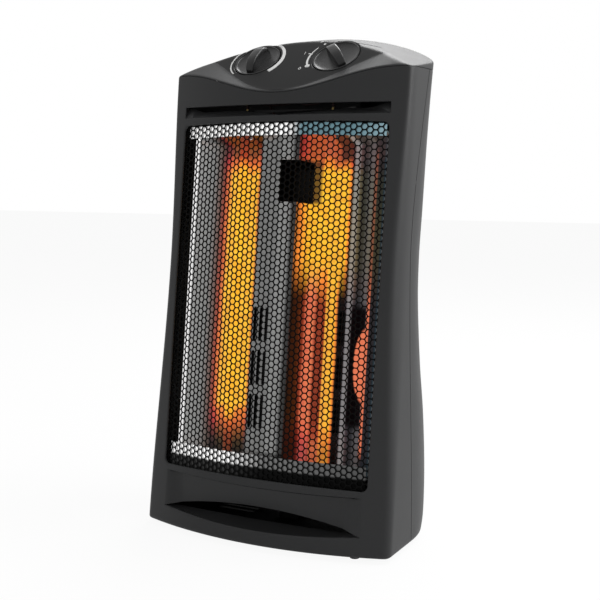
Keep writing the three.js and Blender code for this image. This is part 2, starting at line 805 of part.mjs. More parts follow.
function makeTopCap() {
  let cap = bodyShell.intersect(aboveSeam(fit / 2));
  cap = cap.subtract(onPanel(extruded(panelOutline(panelRim - fit), 'z', -panelSeat, overrun)));
  const room = cylinder(wellRadius + wellWall + fit, -overrun / 2, overrun, 32);
  for (const x of Object.values(knobPlaces)) cap = cap.subtract(onPanel(placed(room, x, knobRise, 0)));
  return cap;
}

function makeControlPanel() {
  let panel = extruded(panelOutline(panelRim), 'z', -panelThickness, 0);
  const cup = cylinder(wellRadius + wellWall, wellFloor - wellWall, -fit, 32);
  for (const x of Object.values(knobPlaces)) panel = panel.add(placed(cup, x, knobRise, 0));
  for (const x of Object.values(knobPlaces)) {
    panel = panel.subtract(placed(cylinder(wellRadius, wellFloor, overrun, 32), x, knobRise, 0));
    panel = panel.subtract(placed(cylinder(bushingRadius + fit, -overrun, overrun, 16), x, knobRise, 0));
  }
  return panel;
}

function makeKnob() {
  const under = wellFloor + knobBaseGap;
  const bowl = turned([
    [0, under], [knobRadius, under], [knobRadius, knobRimLift], [knobRadius - knobLipWidth, knobRimLift],
    [knobRadius - 4 * knobLipWidth, -knobFloorDrop + knobRimLift],
    [knobRadius / 2, -knobFloorDrop], [0, -knobFloorDrop]], 28);
  const reach = knobRadius - knobLipWidth / 2;
  const profile = new THREE.Shape();
  profile.moveTo(-reach, under + knobBaseGap);
  profile.lineTo(reach, under + knobBaseGap);
  profile.lineTo(reach, knobRimLift);
  profile.quadraticCurveTo(reach * 2 / 3, knobBladeLift, 0, knobBladeLift);
  profile.quadraticCurveTo(-reach * 2 / 3, knobBladeLift, -reach, knobRimLift);
  const blade = extruded(profile, 'x', -knobBladeWidth / 2, knobBladeWidth / 2, 6);
  const pocket = cylinder(knobPocketRadius, under - overrun, -knobPocketDrop, 20);
  const socket = cylinder(shaftRadius + fit, under - overrun, shaftReach + fit, 14);
  return bowl.add(blade.intersect(cylinder(reach, under, overrun, 28))).subtract(pocket).subtract(socket);
}

const bodyTop = wellFloor - wellWall - fit;

function makeShaft(depth) {
  return cylinder(shaftRadius, bodyTop - depth / 2, shaftReach, 14);
}

// A switch or thermostat: a block, the threaded bushing on it and its blade terminals
function makeControlBody(width, height, depth, terminals) {
  let body = box(-width / 2, width / 2, -height / 2, height / 2, bodyTop - depth, bodyTop);
  body = body.add(cylinder(bushingRadius, bodyTop - wall, wellFloor + bushingLift, 16));
  const bore = cylinder(shaftRadius + runningFit, bodyTop - depth / 2 - runningFit, overrun, 14);
  for (let i = 0; i < terminals; i += 1) {
    const x = width * ((i + 1 / 2) / terminals - 1 / 2);
    body = body.add(box(x - bladeTerminalWidth / 2, x + bladeTerminalWidth / 2, -bladeTerminalThickness / 2,
      bladeTerminalThickness / 2, bodyTop - depth - bladeTerminalLength, bodyTop - depth + wall));
  }
  return body.subtract(bore);
}

function makeBushingNut() {
  const low = wellFloor + fit / 2;
  return cylinder(nutRadius, low, low + nutHeight, 6).subtract(
    cylinder(bushingRadius + fit, low - overrun, low + overrun, 16));
}

// Grille

// The sheet clears the bezel's inside at its two creases and at its side edges
const grilleEdge = windowHalfWidth + grilleBorder;
const grilleInset = bow(grilleCentreHalfWidth) + wall + fit;
const grilleFall = bow(grilleEdge) + wall + grilleEdgeGap - grilleInset;
const grilleFold = Math.atan(grilleFall / (grilleEdge - grilleCentreHalfWidth));
const grilleSideFlat = (grilleEdge - grilleCentreHalfWidth) / Math.cos(grilleFold);
const grilleFlatHalfWidth = grilleCentreHalfWidth + grilleSideFlat;

function grilleDepth(x) {
  return grilleInset + Math.max(0, Math.abs(x) - grilleCentreHalfWidth) * Math.tan(grilleFold);
}

// Folds a flat sheet, drawn in X and Z with its thickness along Y, back along the two crease lines
function folded(flat) {
  const reach = baseHalfWidth + overrun;
  const between = (lowX, highX) => flat.intersect(box(lowX, highX, -overrun, overrun, -overrun, bodyHeight));
  let sheetMetal = between(-grilleCentreHalfWidth, grilleCentreHalfWidth);
  for (const side of [-1, 1]) {
    const crease = side * grilleCentreHalfWidth;
    const wing = between(Math.min(crease, side * reach), Math.max(crease, side * reach));
    const turned = placed(wing, -crease, 0, 0).rotate([0, 0, side * grilleFold / degrees]);
    sheetMetal = sheetMetal.add(placed(turned, crease, 0, 0));
  }
  return sheetMetal;
}

function makeGrille() {
  const [low, high] = [windowBottom - grilleBorder, windowTop + grilleBorder];
  const columnPitch = grillePitch * Math.sqrt(3) / 2;
  const columns = Math.floor((2 * grilleFlatHalfWidth - 2 * grilleBorder) / columnPitch);
  const rows = Math.floor((high - low - 2 * grilleBorder) / grillePitch);
  const holeRadius = (grillePitch - grilleWeb) / Math.sqrt(3);
  const shape = polygonShape([
    [-grilleFlatHalfWidth, low], [grilleFlatHalfWidth, low],
    [grilleFlatHalfWidth, high], [-grilleFlatHalfWidth, high]]);
  const middle = (low + high) / 2;
  for (let column = 0; column < columns; column += 1) {
    const x = (column - (columns - 1) / 2) * columnPitch;
    const stagger = column % 2 === 0 ? 1 / 2 : 0;
    const count = column % 2 === 0 ? rows - 1 : rows;
    for (let row = 0; row < count; row += 1) {
      const z = middle + (row + stagger - (rows - 1) / 2) * grillePitch;
      const hole = new THREE.Path();
      hole.setFromPoints(Array.from({ length: 6 }, (_, k) => new THREE.Vector2(
        x + holeRadius * Math.cos(k * Math.PI / 3), z + holeRadius * Math.sin(k * Math.PI / 3))));
      shape.holes.push(hole);
    }
  }
  const geometry = new THREE.ExtrudeGeometry(shape, { depth: sheet, bevelEnabled: false });
  geometry.translate(0, 0, -sheet).applyMatrix4(along.y);
  return placed(folded(solidOf(geometry)), 0, grilleInset, 0);
}

// Reflector and what surrounds it, modelled upright and leaned by their group

function troughCurve() {
  const points = troughWidthShares.map((share, i) => new THREE.Vector2(
    mixed(ridgeHalfWidth, panHalfWidth, share),
    mixed(ridgeEdge, troughDepth, troughDepthShares[i])));
  const rising = new THREE.SplineCurve(points.slice(1)).getPoints(2 * points.length);
  return [points[0], ...rising];
}

function makeReflectorPan() {
  const half = [new THREE.Vector2(0, ridgeCrest), ...troughCurve()];
  half.push(new THREE.Vector2(panHalfWidth + panFlange, half[half.length - 1].y));
  const front = [...half.slice(1).reverse().map((point) => new THREE.Vector2(-point.x, point.y)), ...half];
  const back = front.map((point, i) => {
    const before = front[Math.max(0, i - 1)];
    const after = front[Math.min(front.length - 1, i + 1)];
    const run = after.clone().sub(before).normalize();
    return new THREE.Vector2(point.x - run.y * sheet, point.y + run.x * sheet);
  });
  const outline = [...front, ...back.reverse()].map((point) => [point.x, point.y]);
  let pan = extruded(outline, 'z', bottomPlateHeight + sheet + fit, topPlateFrontHeight);
  pan = pan.subtract(aboveTopPlate(-fit));
  for (let row = 0; row < coolingRows; row += 1) {
    const low = coolingLowest + row * coolingRowPitch;
    for (let column = 0; column < coolingColumns; column += 1) {
      for (const start of [-coolingStart, farCoolingStart]) {
        const x = start + column * coolingSlotPitch;
        pan = pan.subtract(box(x - coolingSlotWidth / 2, x + coolingSlotWidth / 2, 0, overrun + troughDepth,
          low, low + coolingSlotLength));
      }
    }
  }
  return pan.subtract(box(cutoutLeft, cutoutRight, 0, overrun + troughDepth, cutoutBottom, cutoutTop));
}

// The end plates' front edges run just behind the grille
const plateEdge = (x) => grilleDepth(x) + sheet / Math.cos(grilleFold) + plateGap;
const plateFront = plateEdge(0);
const plateStations = [-panHalfWidth, -grilleCentreHalfWidth, grilleCentreHalfWidth, panHalfWidth];

function platePlan() {
  const edge = plateStations.map((x) => [x, plateEdge(x)]);
  return extruded([...edge, [panHalfWidth, plateRear], [-panHalfWidth, plateRear]], 'z', 0, bodyHeight);
}

function plateLip(low, high) {
  const edge = plateStations.map((x) => [x, plateEdge(x)]);
  const back = plateStations.map((x) => [-x, plateEdge(x) + sheet]);
  return extruded([...edge, ...back], 'z', low, high);
}

const topPlateFall = (topPlateFrontHeight - topPlateRearHeight) / (plateRear - plateFront);
const topPlateHeight = (depth) => topPlateFrontHeight - (depth - plateFront) * topPlateFall;

function aboveTopPlate(raise) {
  const reach = plateRear + overrun;
  const outline = [
    [0, topPlateHeight(0) + raise], [reach, topPlateHeight(reach) + raise],
    [reach, bodyHeight + overrun], [0, bodyHeight + overrun]];
  return extruded(outline, 'x', -baseHalfWidth, baseHalfWidth);
}

const tubePlaces = { left: -tubeSpacing / 2, right: tubeSpacing / 2 };

function throughTubes(solid, radius) {
  let cut = solid;
  for (const x of Object.values(tubePlaces)) {
    cut = cut.subtract(placed(cylinder(radius, 0, bodyHeight, 16), x, tubeDepth, 0));
  }
  return cut;
}

function makeTopPlate() {
  const thickness = sheet / Math.cos(Math.atan(topPlateFall));
  const lip = slotBottom / Math.cos(frontLean) - wall - fit;
  const slab = aboveTopPlate(0).subtract(aboveTopPlate(thickness));
  const edge = plateLip(topPlateRearHeight, lip).intersect(aboveTopPlate(0));
  const plate = slab.intersect(platePlan()).add(edge);
  return throughTubes(plate, capRadius + fit);
}

function makeBottomPlate() {
  const foot = (scoopTop + wall) / Math.cos(frontLean) + wall;
  const level = box(-panHalfWidth, panHalfWidth, 0, plateRear, bottomPlateHeight, bottomPlateHeight + sheet);
  const plate = level.intersect(platePlan()).add(plateLip(foot, bottomPlateHeight + sheet));
  return throughTubes(plate, capRadius + fit);
}

const flangeDepth = mixed(ridgeEdge, troughDepth, troughDepthShares[troughDepthShares.length - 1]);
const shieldFront = troughDepth + sheet + shieldGap;

// A sheet bent round behind the reflector, its lips lying on the back of the reflector's flanges
function makeHeatShield() {
  const lip = flangeDepth + sheet + fit;
  const outer = panHalfWidth + panFlange;
  const inner = panHalfWidth + fit;
  const outline = [
    [-inner, lip], [-inner, lip + sheet], [-outer + sheet, lip + sheet], [-outer + sheet, shieldFront],
    [outer - sheet, shieldFront], [outer - sheet, lip + sheet], [inner, lip + sheet], [inner, lip],
    [outer, lip], [outer, shieldFront + sheet], [-outer, shieldFront + sheet], [-outer, lip]];
  const shield = extruded(outline, 'z', bottomPlateHeight + sheet + fit, topPlateFrontHeight);
  const middle = (cutoutLeft + cutoutRight) / 2;
  const half = cutoffWidth / 2 - shieldLap;
  const window = box(middle - half, middle + half, shieldFront - sheet, shieldFront + overrun,
    cutoutBottom + 2 * shieldLap, cutoutTop - 2 * shieldLap);
  return shield.subtract(aboveTopPlate(-fit)).subtract(window);
}

// An angle over the tube ends: one leg round the ceramic caps, the other down to the end plate
function makeTubeBracket(upper) {
  const plateHeight = upper ? topPlateHeight(plateRear - bracketClearance) + sheet : bottomPlateHeight;
  const leg = upper ? tubeTop - capLength / 3 : tubeBottom + capLength / 3;
  const away = upper ? 1 : -1;
  const [front, rear] = [tubeDepth - capRadius - bracketLip, plateRear - bracketClearance];
  const seat = plateHeight + away * 2 * fit;
  const outline = [[front, leg], [rear, leg], [rear, seat], [rear + sheet, seat],
    [rear + sheet, leg + away * sheet], [front, leg + away * sheet]];
  return throughTubes(extruded(outline, 'x', -bracketHalfWidth, bracketHalfWidth), capRadius + fit);
}

function makeQuartzTube() {
  return turned([
    [tubeRadius, tubeBottom], [tubeRadius, tubeTop], [tubeRadius - tubeWall, tubeTop],
    [tubeRadius - tubeWall, tubeBottom], [tubeRadius, tubeBottom]], 20);
}

// A ceramic cap, modelled for the upper end and turned over for the lower one
function makeEndCap() {
  const shoulder = capLength - capEndWall;
  return turned([
    [tubeRadius + fit, 0], [capRadius, 0], [capRadius, capLength - capChamfer],
    [capRadius - capChamfer, capLength], [pinRadius + fit, capLength], [pinRadius + fit, shoulder],
    [tubeRadius + fit, shoulder], [tubeRadius + fit, 0]], 12);
}

function makeTerminalPin() {
  const head = 2 * pinRadius;
  const under = capEndWall + fit;
  const above = under + pinHeadThickness;
  return turned([
    [0, 0], [pinRadius, 0], [pinRadius, under], [head, under], [head, above],
    [pinRadius, above], [pinRadius, pinLength], [0, pinLength]], 10);
}

// A round wire through a list of points, with flat ends
function wire(points, radius, sides) {
  const positions = [];
  const index = [];
  const side = new THREE.Vector3();
  points.forEach((point, i) => {
    const before = points[Math.max(0, i - 1)];
    const after = points[Math.min(points.length - 1, i + 1)];
    const run = after.clone().sub(before).normalize();
    if (i === 0) side.set(run.y, run.z, run.x);
    side.addScaledVector(run, -side.dot(run)).normalize();
    const other = new THREE.Vector3().crossVectors(run, side);
    for (let k = 0; k < sides; k += 1) {
      const angle = 2 * Math.PI * k / sides;
      const corner = point.clone().addScaledVector(side, radius * Math.cos(angle))
        .addScaledVector(other, radius * Math.sin(angle));
      positions.push(corner.x, corner.y, corner.z);
    }
  });
  const last = (points.length - 1) * sides;
  for (let i = 0; i < last; i += sides) {
    for (let k = 0; k < sides; k += 1) {
      const next = (k + 1) % sides;
      index.push(i + k, i + next, i + sides + next, i + k, i + sides + next, i + sides + k);
    }
  }
  for (let k = 1; k + 1 < sides; k += 1) {
    index.push(0, k + 1, k, last, last + k, last + k + 1);
  }
  const geometry = new THREE.BufferGeometry();
  geometry.setAttribute('position', new THREE.Float32BufferAttribute(positions, 3));
  geometry.setIndex(index);
  return solidOf(geometry);
}

// The coil: even curls that close in on the tube's axis at both ends and run straight from there
function coilPoints() {
  const steps = coilCurls * coilStepsPerCurl;
  const points = [new THREE.Vector3(0, 0, coilBottom - 2 * coilLeadLength)];
  for (let i = 0; i <= steps; i += 1) {
    const fromEnd = Math.min(i, steps - i) / coilStepsPerCurl;
    const radius = coilRadius * eased(clamped(fromEnd));
    const angle = 2 * Math.PI * i / coilStepsPerCurl;
    const height = mixed(coilBottom - coilLeadLength, coilTop + coilLeadLength, i / steps);
    points.push(new THREE.Vector3(radius * Math.cos(angle), radius * Math.sin(angle), height));
  }
  points.push(new THREE.Vector3(0, 0, coilTop + 2 * coilLeadLength));
  return points;
}

function reportCoilGap(points) {
  let least = Infinity;
  for (let i = 0; i < points.length; i += 1) {
    for (let j = i + coilStepsPerCurl / 2; j < points.length; j += 1) {
      least = Math.min(least, points[i].distanceTo(points[j]) - 2 * coilWire);
    }
  }
  console.log(`least gap between the coil's curls: ${least.toFixed(2)} mm`);
}

function makeThermalCutoff() {
  const rear = shieldFront - fit;
  const front = rear - cutoffDepth;
  const left = (cutoutLeft + cutoutRight - cutoffWidth) / 2;
  const pitch = cutoffWidth / (2 * cutoffRibs - 1);
  const outline = [[left, rear]];
  for (let rib = 0; rib < cutoffRibs; rib += 1) {
    const x = left + 2 * rib * pitch;
    outline.push([x, front], [x + pitch, front]);
    const floor = front + cutoffRibDepth;
    if (rib + 1 < cutoffRibs) outline.push([x + pitch, floor], [x + 2 * pitch, floor]);
  }
  outline.push([left + cutoffWidth, rear]);
  const low = (cutoutBottom + cutoutTop - cutoffHeight) / 2;
  return extruded(outline, 'z', low, low + cutoffHeight);
}

// Base

const feetPlaces = {
  front_left: [-footX, frontFootDepth],
  front_right: [footX, frontFootDepth],
  rear_left: [-footX * rearFootShare, rearFootDepth],
  rear_right: [footX * rearFootShare, rearFootDepth],
};
const bossPlaces = {
  front_left: [-bezelBossX, bezelBossDepth],
  front_right: [bezelBossX, bezelBossDepth],
  rear_left: [-rearBossX, rearBossDepth],
  rear_right: [rearBossX, rearBossDepth],
};

function makeBasePlate() {
  const ring = bodyRing(footHeight, wall + edgeRound + fit).map((point) => [point.x, point.y]);
  let plate = extruded(ring, 'z', footHeight, footHeight + baseThickness);
  const holes = [
    ...Object.values(feetPlaces).map(([x, y]) => [x, y, footStemRadius + fit]),
    ...Object.values(bossPlaces).map(([x, y]) => [x, y, pilotRadius]),
    [tipX, tipDepth, plungerRadius + runningFit]];
  for (const [x, y, radius] of holes) {
    plate = plate.subtract(placed(cylinder(radius, 0, overrun, 10), x, y, 0));
  }
  for (let i = 0; i < baseSlotCount; i += 1) {
    const y = baseSlotDepth + (i - (baseSlotCount - 1) / 2) * baseSlotPitch;
    for (const side of [-1, 1]) {
      const x = side * baseSlotX;
      plate = plate.subtract(box(x - baseSlotLength / 2, x + baseSlotLength / 2,
        y - baseSlotWidth / 2, y + baseSlotWidth / 2, 0, overrun));
    }
  }
  return plate;
}

function makeFoot() {
  const top = footHeight + baseThickness + fit;
  return turned([
    [0, 0], [footRadius - footChamfer, 0], [footRadius, footChamfer], [footRadius, footHeight - fit],
    [footStemRadius, footHeight - fit], [footStemRadius, top], [footBarbRadius, top],
    [footStemRadius, top + footBarbHeight], [0, top + footBarbHeight]], 14);
}

function makeScrew(length) {
  return turned([
    [0, -screwHeadHeight], [screwHeadRadius, -screwHeadHeight], [screwHeadRadius, 0], [screwShankRadius, 0],
    [screwShankRadius, length - 2 * screwShankRadius], [0, length]], 8);
}

function makeTipBody() {
  const low = footHeight + baseThickness + fit;
  const half = tipBodyWidth / 2;
  const shell = box(-half, half, -half, half, low, low + tipBodyHeight);
  const ceiling = low + tipBodyHeight - tipBodyWall;
  const chamber = cylinder(plungerCollarRadius + runningFit, low - overrun, ceiling, 18);
  return shell.subtract(chamber);
}

function makePlunger() {
  const floor = footHeight + baseThickness;
  const collar = floor + plungerTravel + 2 * fit;
  const top = floor + tipBodyHeight - tipBodyWall - 2 * fit;
  return turned([
    [0, plungerLift], [plungerRadius - footChamfer, plungerLift], [plungerRadius, plungerLift + footChamfer],
    [plungerRadius, collar], [plungerCollarRadius, collar],
    [plungerCollarRadius, collar + plungerCollarHeight],
    [plungerRadius / 2, collar + plungerCollarHeight], [plungerRadius / 2, top], [0, top]], 16);
}

// Supply entry

// The depth of the rear wall's outside at a place
function rearSurface(x, z) {
  const ring = bodyRing(z, 0).filter((point) => point.y > seamDepth(z)).sort((a, b) => a.x - b.x);
  const after = ring.findIndex((point) => point.x > x);
  const [low, high] = [ring[after - 1], ring[after]];
  return mixed(low.y, high.y, (x - low.x) / (high.x - low.x));
}

function makeGland() {
  const [outer, inner] = [glandPadProud + fit, -wall - glandPadProud - fit];
  const [outerEnd, innerEnd] = [outer + glandFlangeThickness, inner - glandFlangeThickness];
  const gland = turned([
    [glandBore, innerEnd], [glandFlange, innerEnd], [glandFlange, inner], [glandRadius, inner],
    [glandRadius, outer], [glandFlange, outer], [glandFlange, outer + glandFlangeThickness / 2],
    [glandBore + glandMouth, outerEnd], [glandBore, outerEnd], [glandBore, innerEnd]], 14);
  return placed(facing(gland, 'y'), glandX, rearSurface(glandX, glandHeight), glandHeight);
}

function makeTerminalBlock() {
  const low = footHeight + baseThickness + fit;
  let block = box(-blockWidth / 2, blockWidth / 2, -blockDepth / 2, blockDepth / 2, low, low + blockHeight);
  const ways = 3;
  for (let i = 0; i < ways; i += 1) {
    const x = blockWidth * ((i + 1 / 2) / ways - 1 / 2);
    block = block.subtract(placed(cylinder(2 * leadRadius, low + blockHeight / 2, overrun, 10), x, 0, 0));
  }
  return block;
}

// A lead whose two end pieces are straight
function makeLead(points) {
  const stations = points.map(([x, y, z]) => new THREE.Vector3(x, y, z));
  const curve = new THREE.CatmullRomCurve3(stations.slice(1, -1), false, 'centripetal');
  const line = [stations[0], ...curve.getSpacedPoints(leadSteps - 2), stations[stations.length - 1]];
  return wire(line, leadRadius, leadSides);
}

// Assembly

const heater = new THREE.Group();
const leaningGroup = new THREE.Group();
leaningGroup.rotation.x = -frontLean;
heater.add(leaningGroup, panelFrame);

function add(name, solid, material, parent = heater, x = 0, y = 0, z = 0) {
  const mesh = new THREE.Mesh(geometryOf(solid), material);
  mesh.name = name;
  mesh.position.set(x, y, z);
  parent.add(mesh);
  return mesh;
}

add('front_bezel', makeBezel(), shellPlastic);
add('rear_housing', makeRearHousing(), shellPlastic);
add('top_cap', makeTopCap(), shellPlastic);
add('control_panel', makeControlPanel(), panelPlastic, panelFrame);

function addControl(kind, pointer, width, height, depth, terminals) {
  const x = knobPlaces[kind];
  for (const [piece, solid, material] of [
    ['knob', makeKnob(), knobPlastic], ['shaft', makeShaft(depth), plainSteel]]) {
    add(`${kind}_${piece}`, solid, material, panelFrame, x, knobRise).rotation.z = pointer;
  }
  const body = makeControlBody(width, height, depth, terminals);
  add(`${kind}_body`, body, blackPlastic, panelFrame, x, knobRise);
  add(`${kind}_nut`, makeBushingNut(), brass, panelFrame, x, knobRise);
}

addControl('thermostat', thermostatPointer, thermostatWidth, thermostatHeight, thermostatDepth, 2);
addControl('selector', selectorPointer, selectorWidth, selectorHeight, selectorDepth, 3);

add('grille', makeGrille(), blackSteel, leaningGroup);
add('reflector_pan', makeReflectorPan(), brightSteel, leaningGroup);
add('reflector_top_plate', makeTopPlate(), brightSteel, leaningGroup);
add('reflector_bottom_plate', makeBottomPlate(), brightSteel, leaningGroup);
add('heat_shield', makeHeatShield(), plainSteel, leaningGroup);
add('upper_tube_bracket', makeTubeBracket(true), plainSteel, leaningGroup);
add('lower_tube_bracket', makeTubeBracket(false), plainSteel, leaningGroup);
add('thermal_cutoff', makeThermalCutoff(), blackPlastic, leaningGroup);

const coil = coilPoints();
reportCoilGap(coil);
const capSeat = capEndWall + fit;
for (const [side, x] of Object.entries(tubePlaces)) {
  add(`quartz_tube_${side}`, makeQuartzTube(), quartz, leaningGroup, x, tubeDepth);
  add(`heating_coil_${side}`, wire(coil, coilWire, coilSides), glowingWire, leaningGroup, x, tubeDepth);
  for (const [end, turn, capHeight, pinHeight] of [
    ['upper', 0, tubeTop + capSeat - capLength, tubeTop + fit],
    ['lower', Math.PI, tubeBottom - capSeat + capLength, tubeBottom - fit]]) {
    for (const [piece, solid, material, height] of [
      ['ceramic_cap', makeEndCap(), ceramic, capHeight],
      ['terminal_pin', makeTerminalPin(), brass, pinHeight]]) {
      add(`${piece}_${end}_${side}`, solid, material, leaningGroup, x, tubeDepth, height).rotation.x = turn;
    }
  }
}

add('base_plate', makeBasePlate(), blackPlastic);
for (const [place, [x, y]] of Object.entries(feetPlaces)) {
  add(`rubber_foot_${place}`, makeFoot(), rubber, heater, x, y);
}
for (const [place, [x, y]] of Object.entries(bossPlaces)) {
  add(`base_screw_${place}`, makeScrew(screwLength), plainSteel, heater, x, y, footHeight - fit);
}
for (const [side, z] of postPlaces) {
  const name = `housing_screw_${z === upperPostHeight ? 'upper' : 'lower'}_${side < 0 ? 'left' : 'right'}`;
  const head = seamDepth(z) + fit / 2 + shoulderDepth + fit;
  add(name, makeScrew(screwLength), plainSteel, heater, side * postX, head, z).rotation.x = Math.PI / 2;
}
add('tip_switch_body', makeTipBody(), blackPlastic, heater, tipX, tipDepth);
add('tip_switch_plunger', makePlunger(), blackPlastic, heater, tipX, tipDepth);
add('cord_gland', makeGland(), rubber);
add('terminal_block', makeTerminalBlock(), whiteLead, heater, blockX, blockPlace);

// Wiring, from tip to tip of what each lead joins

function fromLean(x, depth, height) {
  const point = new THREE.Vector3(x, depth, height).applyAxisAngle(new THREE.Vector3(1, 0, 0), -frontLean);
  return [point.x, point.y, point.z];
}

function fromPanel(x, rise, lift) {
  const point = new THREE.Vector3(x, rise, lift).applyAxisAngle(new THREE.Vector3(1, 0, 0), panelSlope);
  return [point.x, point.y + panelFootDepth, point.z + seamCentreHeight];
}

const leadGap = 0.4;
const pastPin = fit + pinLength + leadGap;
const pinTip = (x, end) => (drop) => fromLean(
  x, tubeDepth, end === 'upper' ? tubeTop + pastPin + drop : tubeBottom - pastPin - drop);
const bladeTip = (kind, width, depth, share) => (drop) => fromPanel(
  knobPlaces[kind] + width * share, knobRise, bodyTop - depth - bladeTerminalLength - leadGap - drop);
const cutoffBack = (height) => (drop) => fromLean(
  (cutoutLeft + cutoutRight) / 2, shieldFront - fit + leadGap + drop, height);
const blockTop = footHeight + baseThickness + fit + blockHeight + leadGap;
const switchTop = footHeight + baseThickness + fit + tipBodyHeight + leadGap;

const thermostatTip = (share) => bladeTip('thermostat', thermostatWidth, thermostatDepth, share);
const selectorTip = (share) => bladeTip('selector', selectorWidth, selectorDepth, share);
const [bend, sweep, corridor] = [leadBend, 2 * leadBend, leadCorridor];
const overhead = panelFootDepth + overheadReach;
const ends = (tip) => [tip(0), tip(bend)];

const wiring = {
  lead_selector_left: [
    ...ends(pinTip(tubePlaces.left, 'upper')),
    [tubePlaces.left / 2, overhead - sweep, upperPostHeight - bend],
    ...ends(selectorTip(-1 / 3)).reverse()],
  lead_selector_right: [...ends(pinTip(tubePlaces.right, 'upper')), ...ends(selectorTip(0)).reverse()],
  lead_thermostat_selector: [
    ...ends(thermostatTip(1 / 4)), [0, overhead, upperPostHeight - bend],
    ...ends(selectorTip(1 / 3)).reverse()],
  lead_cutoff_thermostat: [
    ...ends(thermostatTip(-1 / 4)), [-knobSpacing / 3, corridor, gripBottom],
    ...ends(cutoffBack(cutoutTop - sweep)).reverse()],
  lead_block_cutoff: [
    ...ends(cutoffBack(cutoutBottom + sweep)), [blockX, corridor, waistHeight],
    [blockX, corridor, waistHeight / 3], [blockX, blockPlace, blockTop + sweep],
    [blockX, blockPlace, blockTop]],
  lead_block_switch: [
    [blockX - blockWidth / 3, blockPlace, blockTop], [blockX - blockWidth / 3, blockPlace, blockTop + sweep],
    [tipX, tipDepth, switchTop + bend], [tipX, tipDepth, switchTop]],
  lead_switch_left: [
    [tipX - bend, tipDepth, switchTop], [tipX - bend, tipDepth, switchTop + bend],
    ...ends(pinTip(tubePlaces.left, 'lower')).reverse()],
  lead_switch_right: [
    [tipX + bend, tipDepth, switchTop], [tipX + bend, tipDepth, switchTop + bend],
    ...ends(pinTip(tubePlaces.right, 'lower')).reverse()],
};
for (const [name, points] of Object.entries(wiring)) {
  add(name, makeLead(points), name.startsWith('lead_switch') ? whiteLead : redLead);
}

// The origin is the middle of the footprint, on the floor
heater.updateMatrixWorld(true);
const bounds = new THREE.Box3().setFromObject(heater, true);
heater.position.y = -(bounds.min.y + bounds.max.y) / 2;

export default heater;
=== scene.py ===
"""The quartz tower heater, dressed: moulded shells, folded grille, reflector, glowing tubes, dish knobs."""

import json
import logging
import math
from dataclasses import dataclass, replace
from enum import Enum
from typing import Any, Callable, Iterable, Sequence

import bmesh
import bpy
import numpy as np
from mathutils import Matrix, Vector


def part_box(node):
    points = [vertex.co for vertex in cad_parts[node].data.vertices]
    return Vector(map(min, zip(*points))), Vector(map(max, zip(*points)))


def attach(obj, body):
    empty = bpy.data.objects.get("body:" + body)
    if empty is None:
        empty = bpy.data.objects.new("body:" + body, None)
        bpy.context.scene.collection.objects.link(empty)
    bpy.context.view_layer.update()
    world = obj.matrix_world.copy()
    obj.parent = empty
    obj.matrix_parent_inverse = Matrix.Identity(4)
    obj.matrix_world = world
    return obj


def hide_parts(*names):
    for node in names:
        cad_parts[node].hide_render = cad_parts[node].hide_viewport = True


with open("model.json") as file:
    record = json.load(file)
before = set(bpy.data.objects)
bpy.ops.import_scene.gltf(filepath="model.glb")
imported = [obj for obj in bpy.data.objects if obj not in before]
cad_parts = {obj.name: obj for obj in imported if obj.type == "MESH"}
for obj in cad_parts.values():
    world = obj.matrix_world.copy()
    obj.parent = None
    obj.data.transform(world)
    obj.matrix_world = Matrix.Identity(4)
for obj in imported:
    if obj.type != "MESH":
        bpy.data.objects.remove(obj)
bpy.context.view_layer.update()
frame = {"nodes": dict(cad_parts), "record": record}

Array = np.ndarray
Colour = tuple[float, float, float]
Stops = Sequence[tuple[float, Colour]]
log = logging.getLogger("heater")

MM = 0.001
TIP_SWITCH_DEPTH = 112.0
FAR = 60.0
LEAN = math.radians(7.5)
PANEL_SLOPE = math.radians(40.0)


def grey(value: float) -> Colour:
    """A neutral colour."""
    return (value, value, value)


BLACK = grey(0.0)
WHITE = grey(1.0)
YELLOW_HEAT = (1.0, 0.53, 0.03)
ORANGE_HEAT = (0.95, 0.27, 0.035)


def shift_to_footprint() -> float:
    """How far back, in millimetres, the frame's origin lies from the foot of the leaning front.

    Returns:
        The distance that is taken off every depth.
    """
    low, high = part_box("tip_switch_body")
    return TIP_SWITCH_DEPTH - (low.y + high.y) / 2 / MM


SHIFT = shift_to_footprint()


class Slot(Enum):
    """The record's material slots."""

    SHELL = "shell_plastic"
    PANEL = "panel_plastic"
    KNOB = "knob_plastic"
    BLACK_STEEL = "black_steel"
    BRIGHT_STEEL = "bright_steel"
    PLAIN_STEEL = "plain_steel"
    QUARTZ = "quartz"
    WIRE = "glowing_wire"
    CERAMIC = "ceramic"
    BRASS = "brass"
    BLACK_PLASTIC = "black_plastic"
    RUBBER = "rubber"
    RED_LEAD = "red_lead"
    WHITE_LEAD = "white_lead"


class Body(Enum):
    """The bodies that the pieces built here ride on."""

    HEATER = "body"
    THERMOSTAT = "thermostat_dial"
    SELECTOR = "selector_dial"


class Join(Enum):
    """How one solid changes another."""

    CUT = "DIFFERENCE"
    ADD = "UNION"
    KEEP = "INTERSECT"


# Node trees


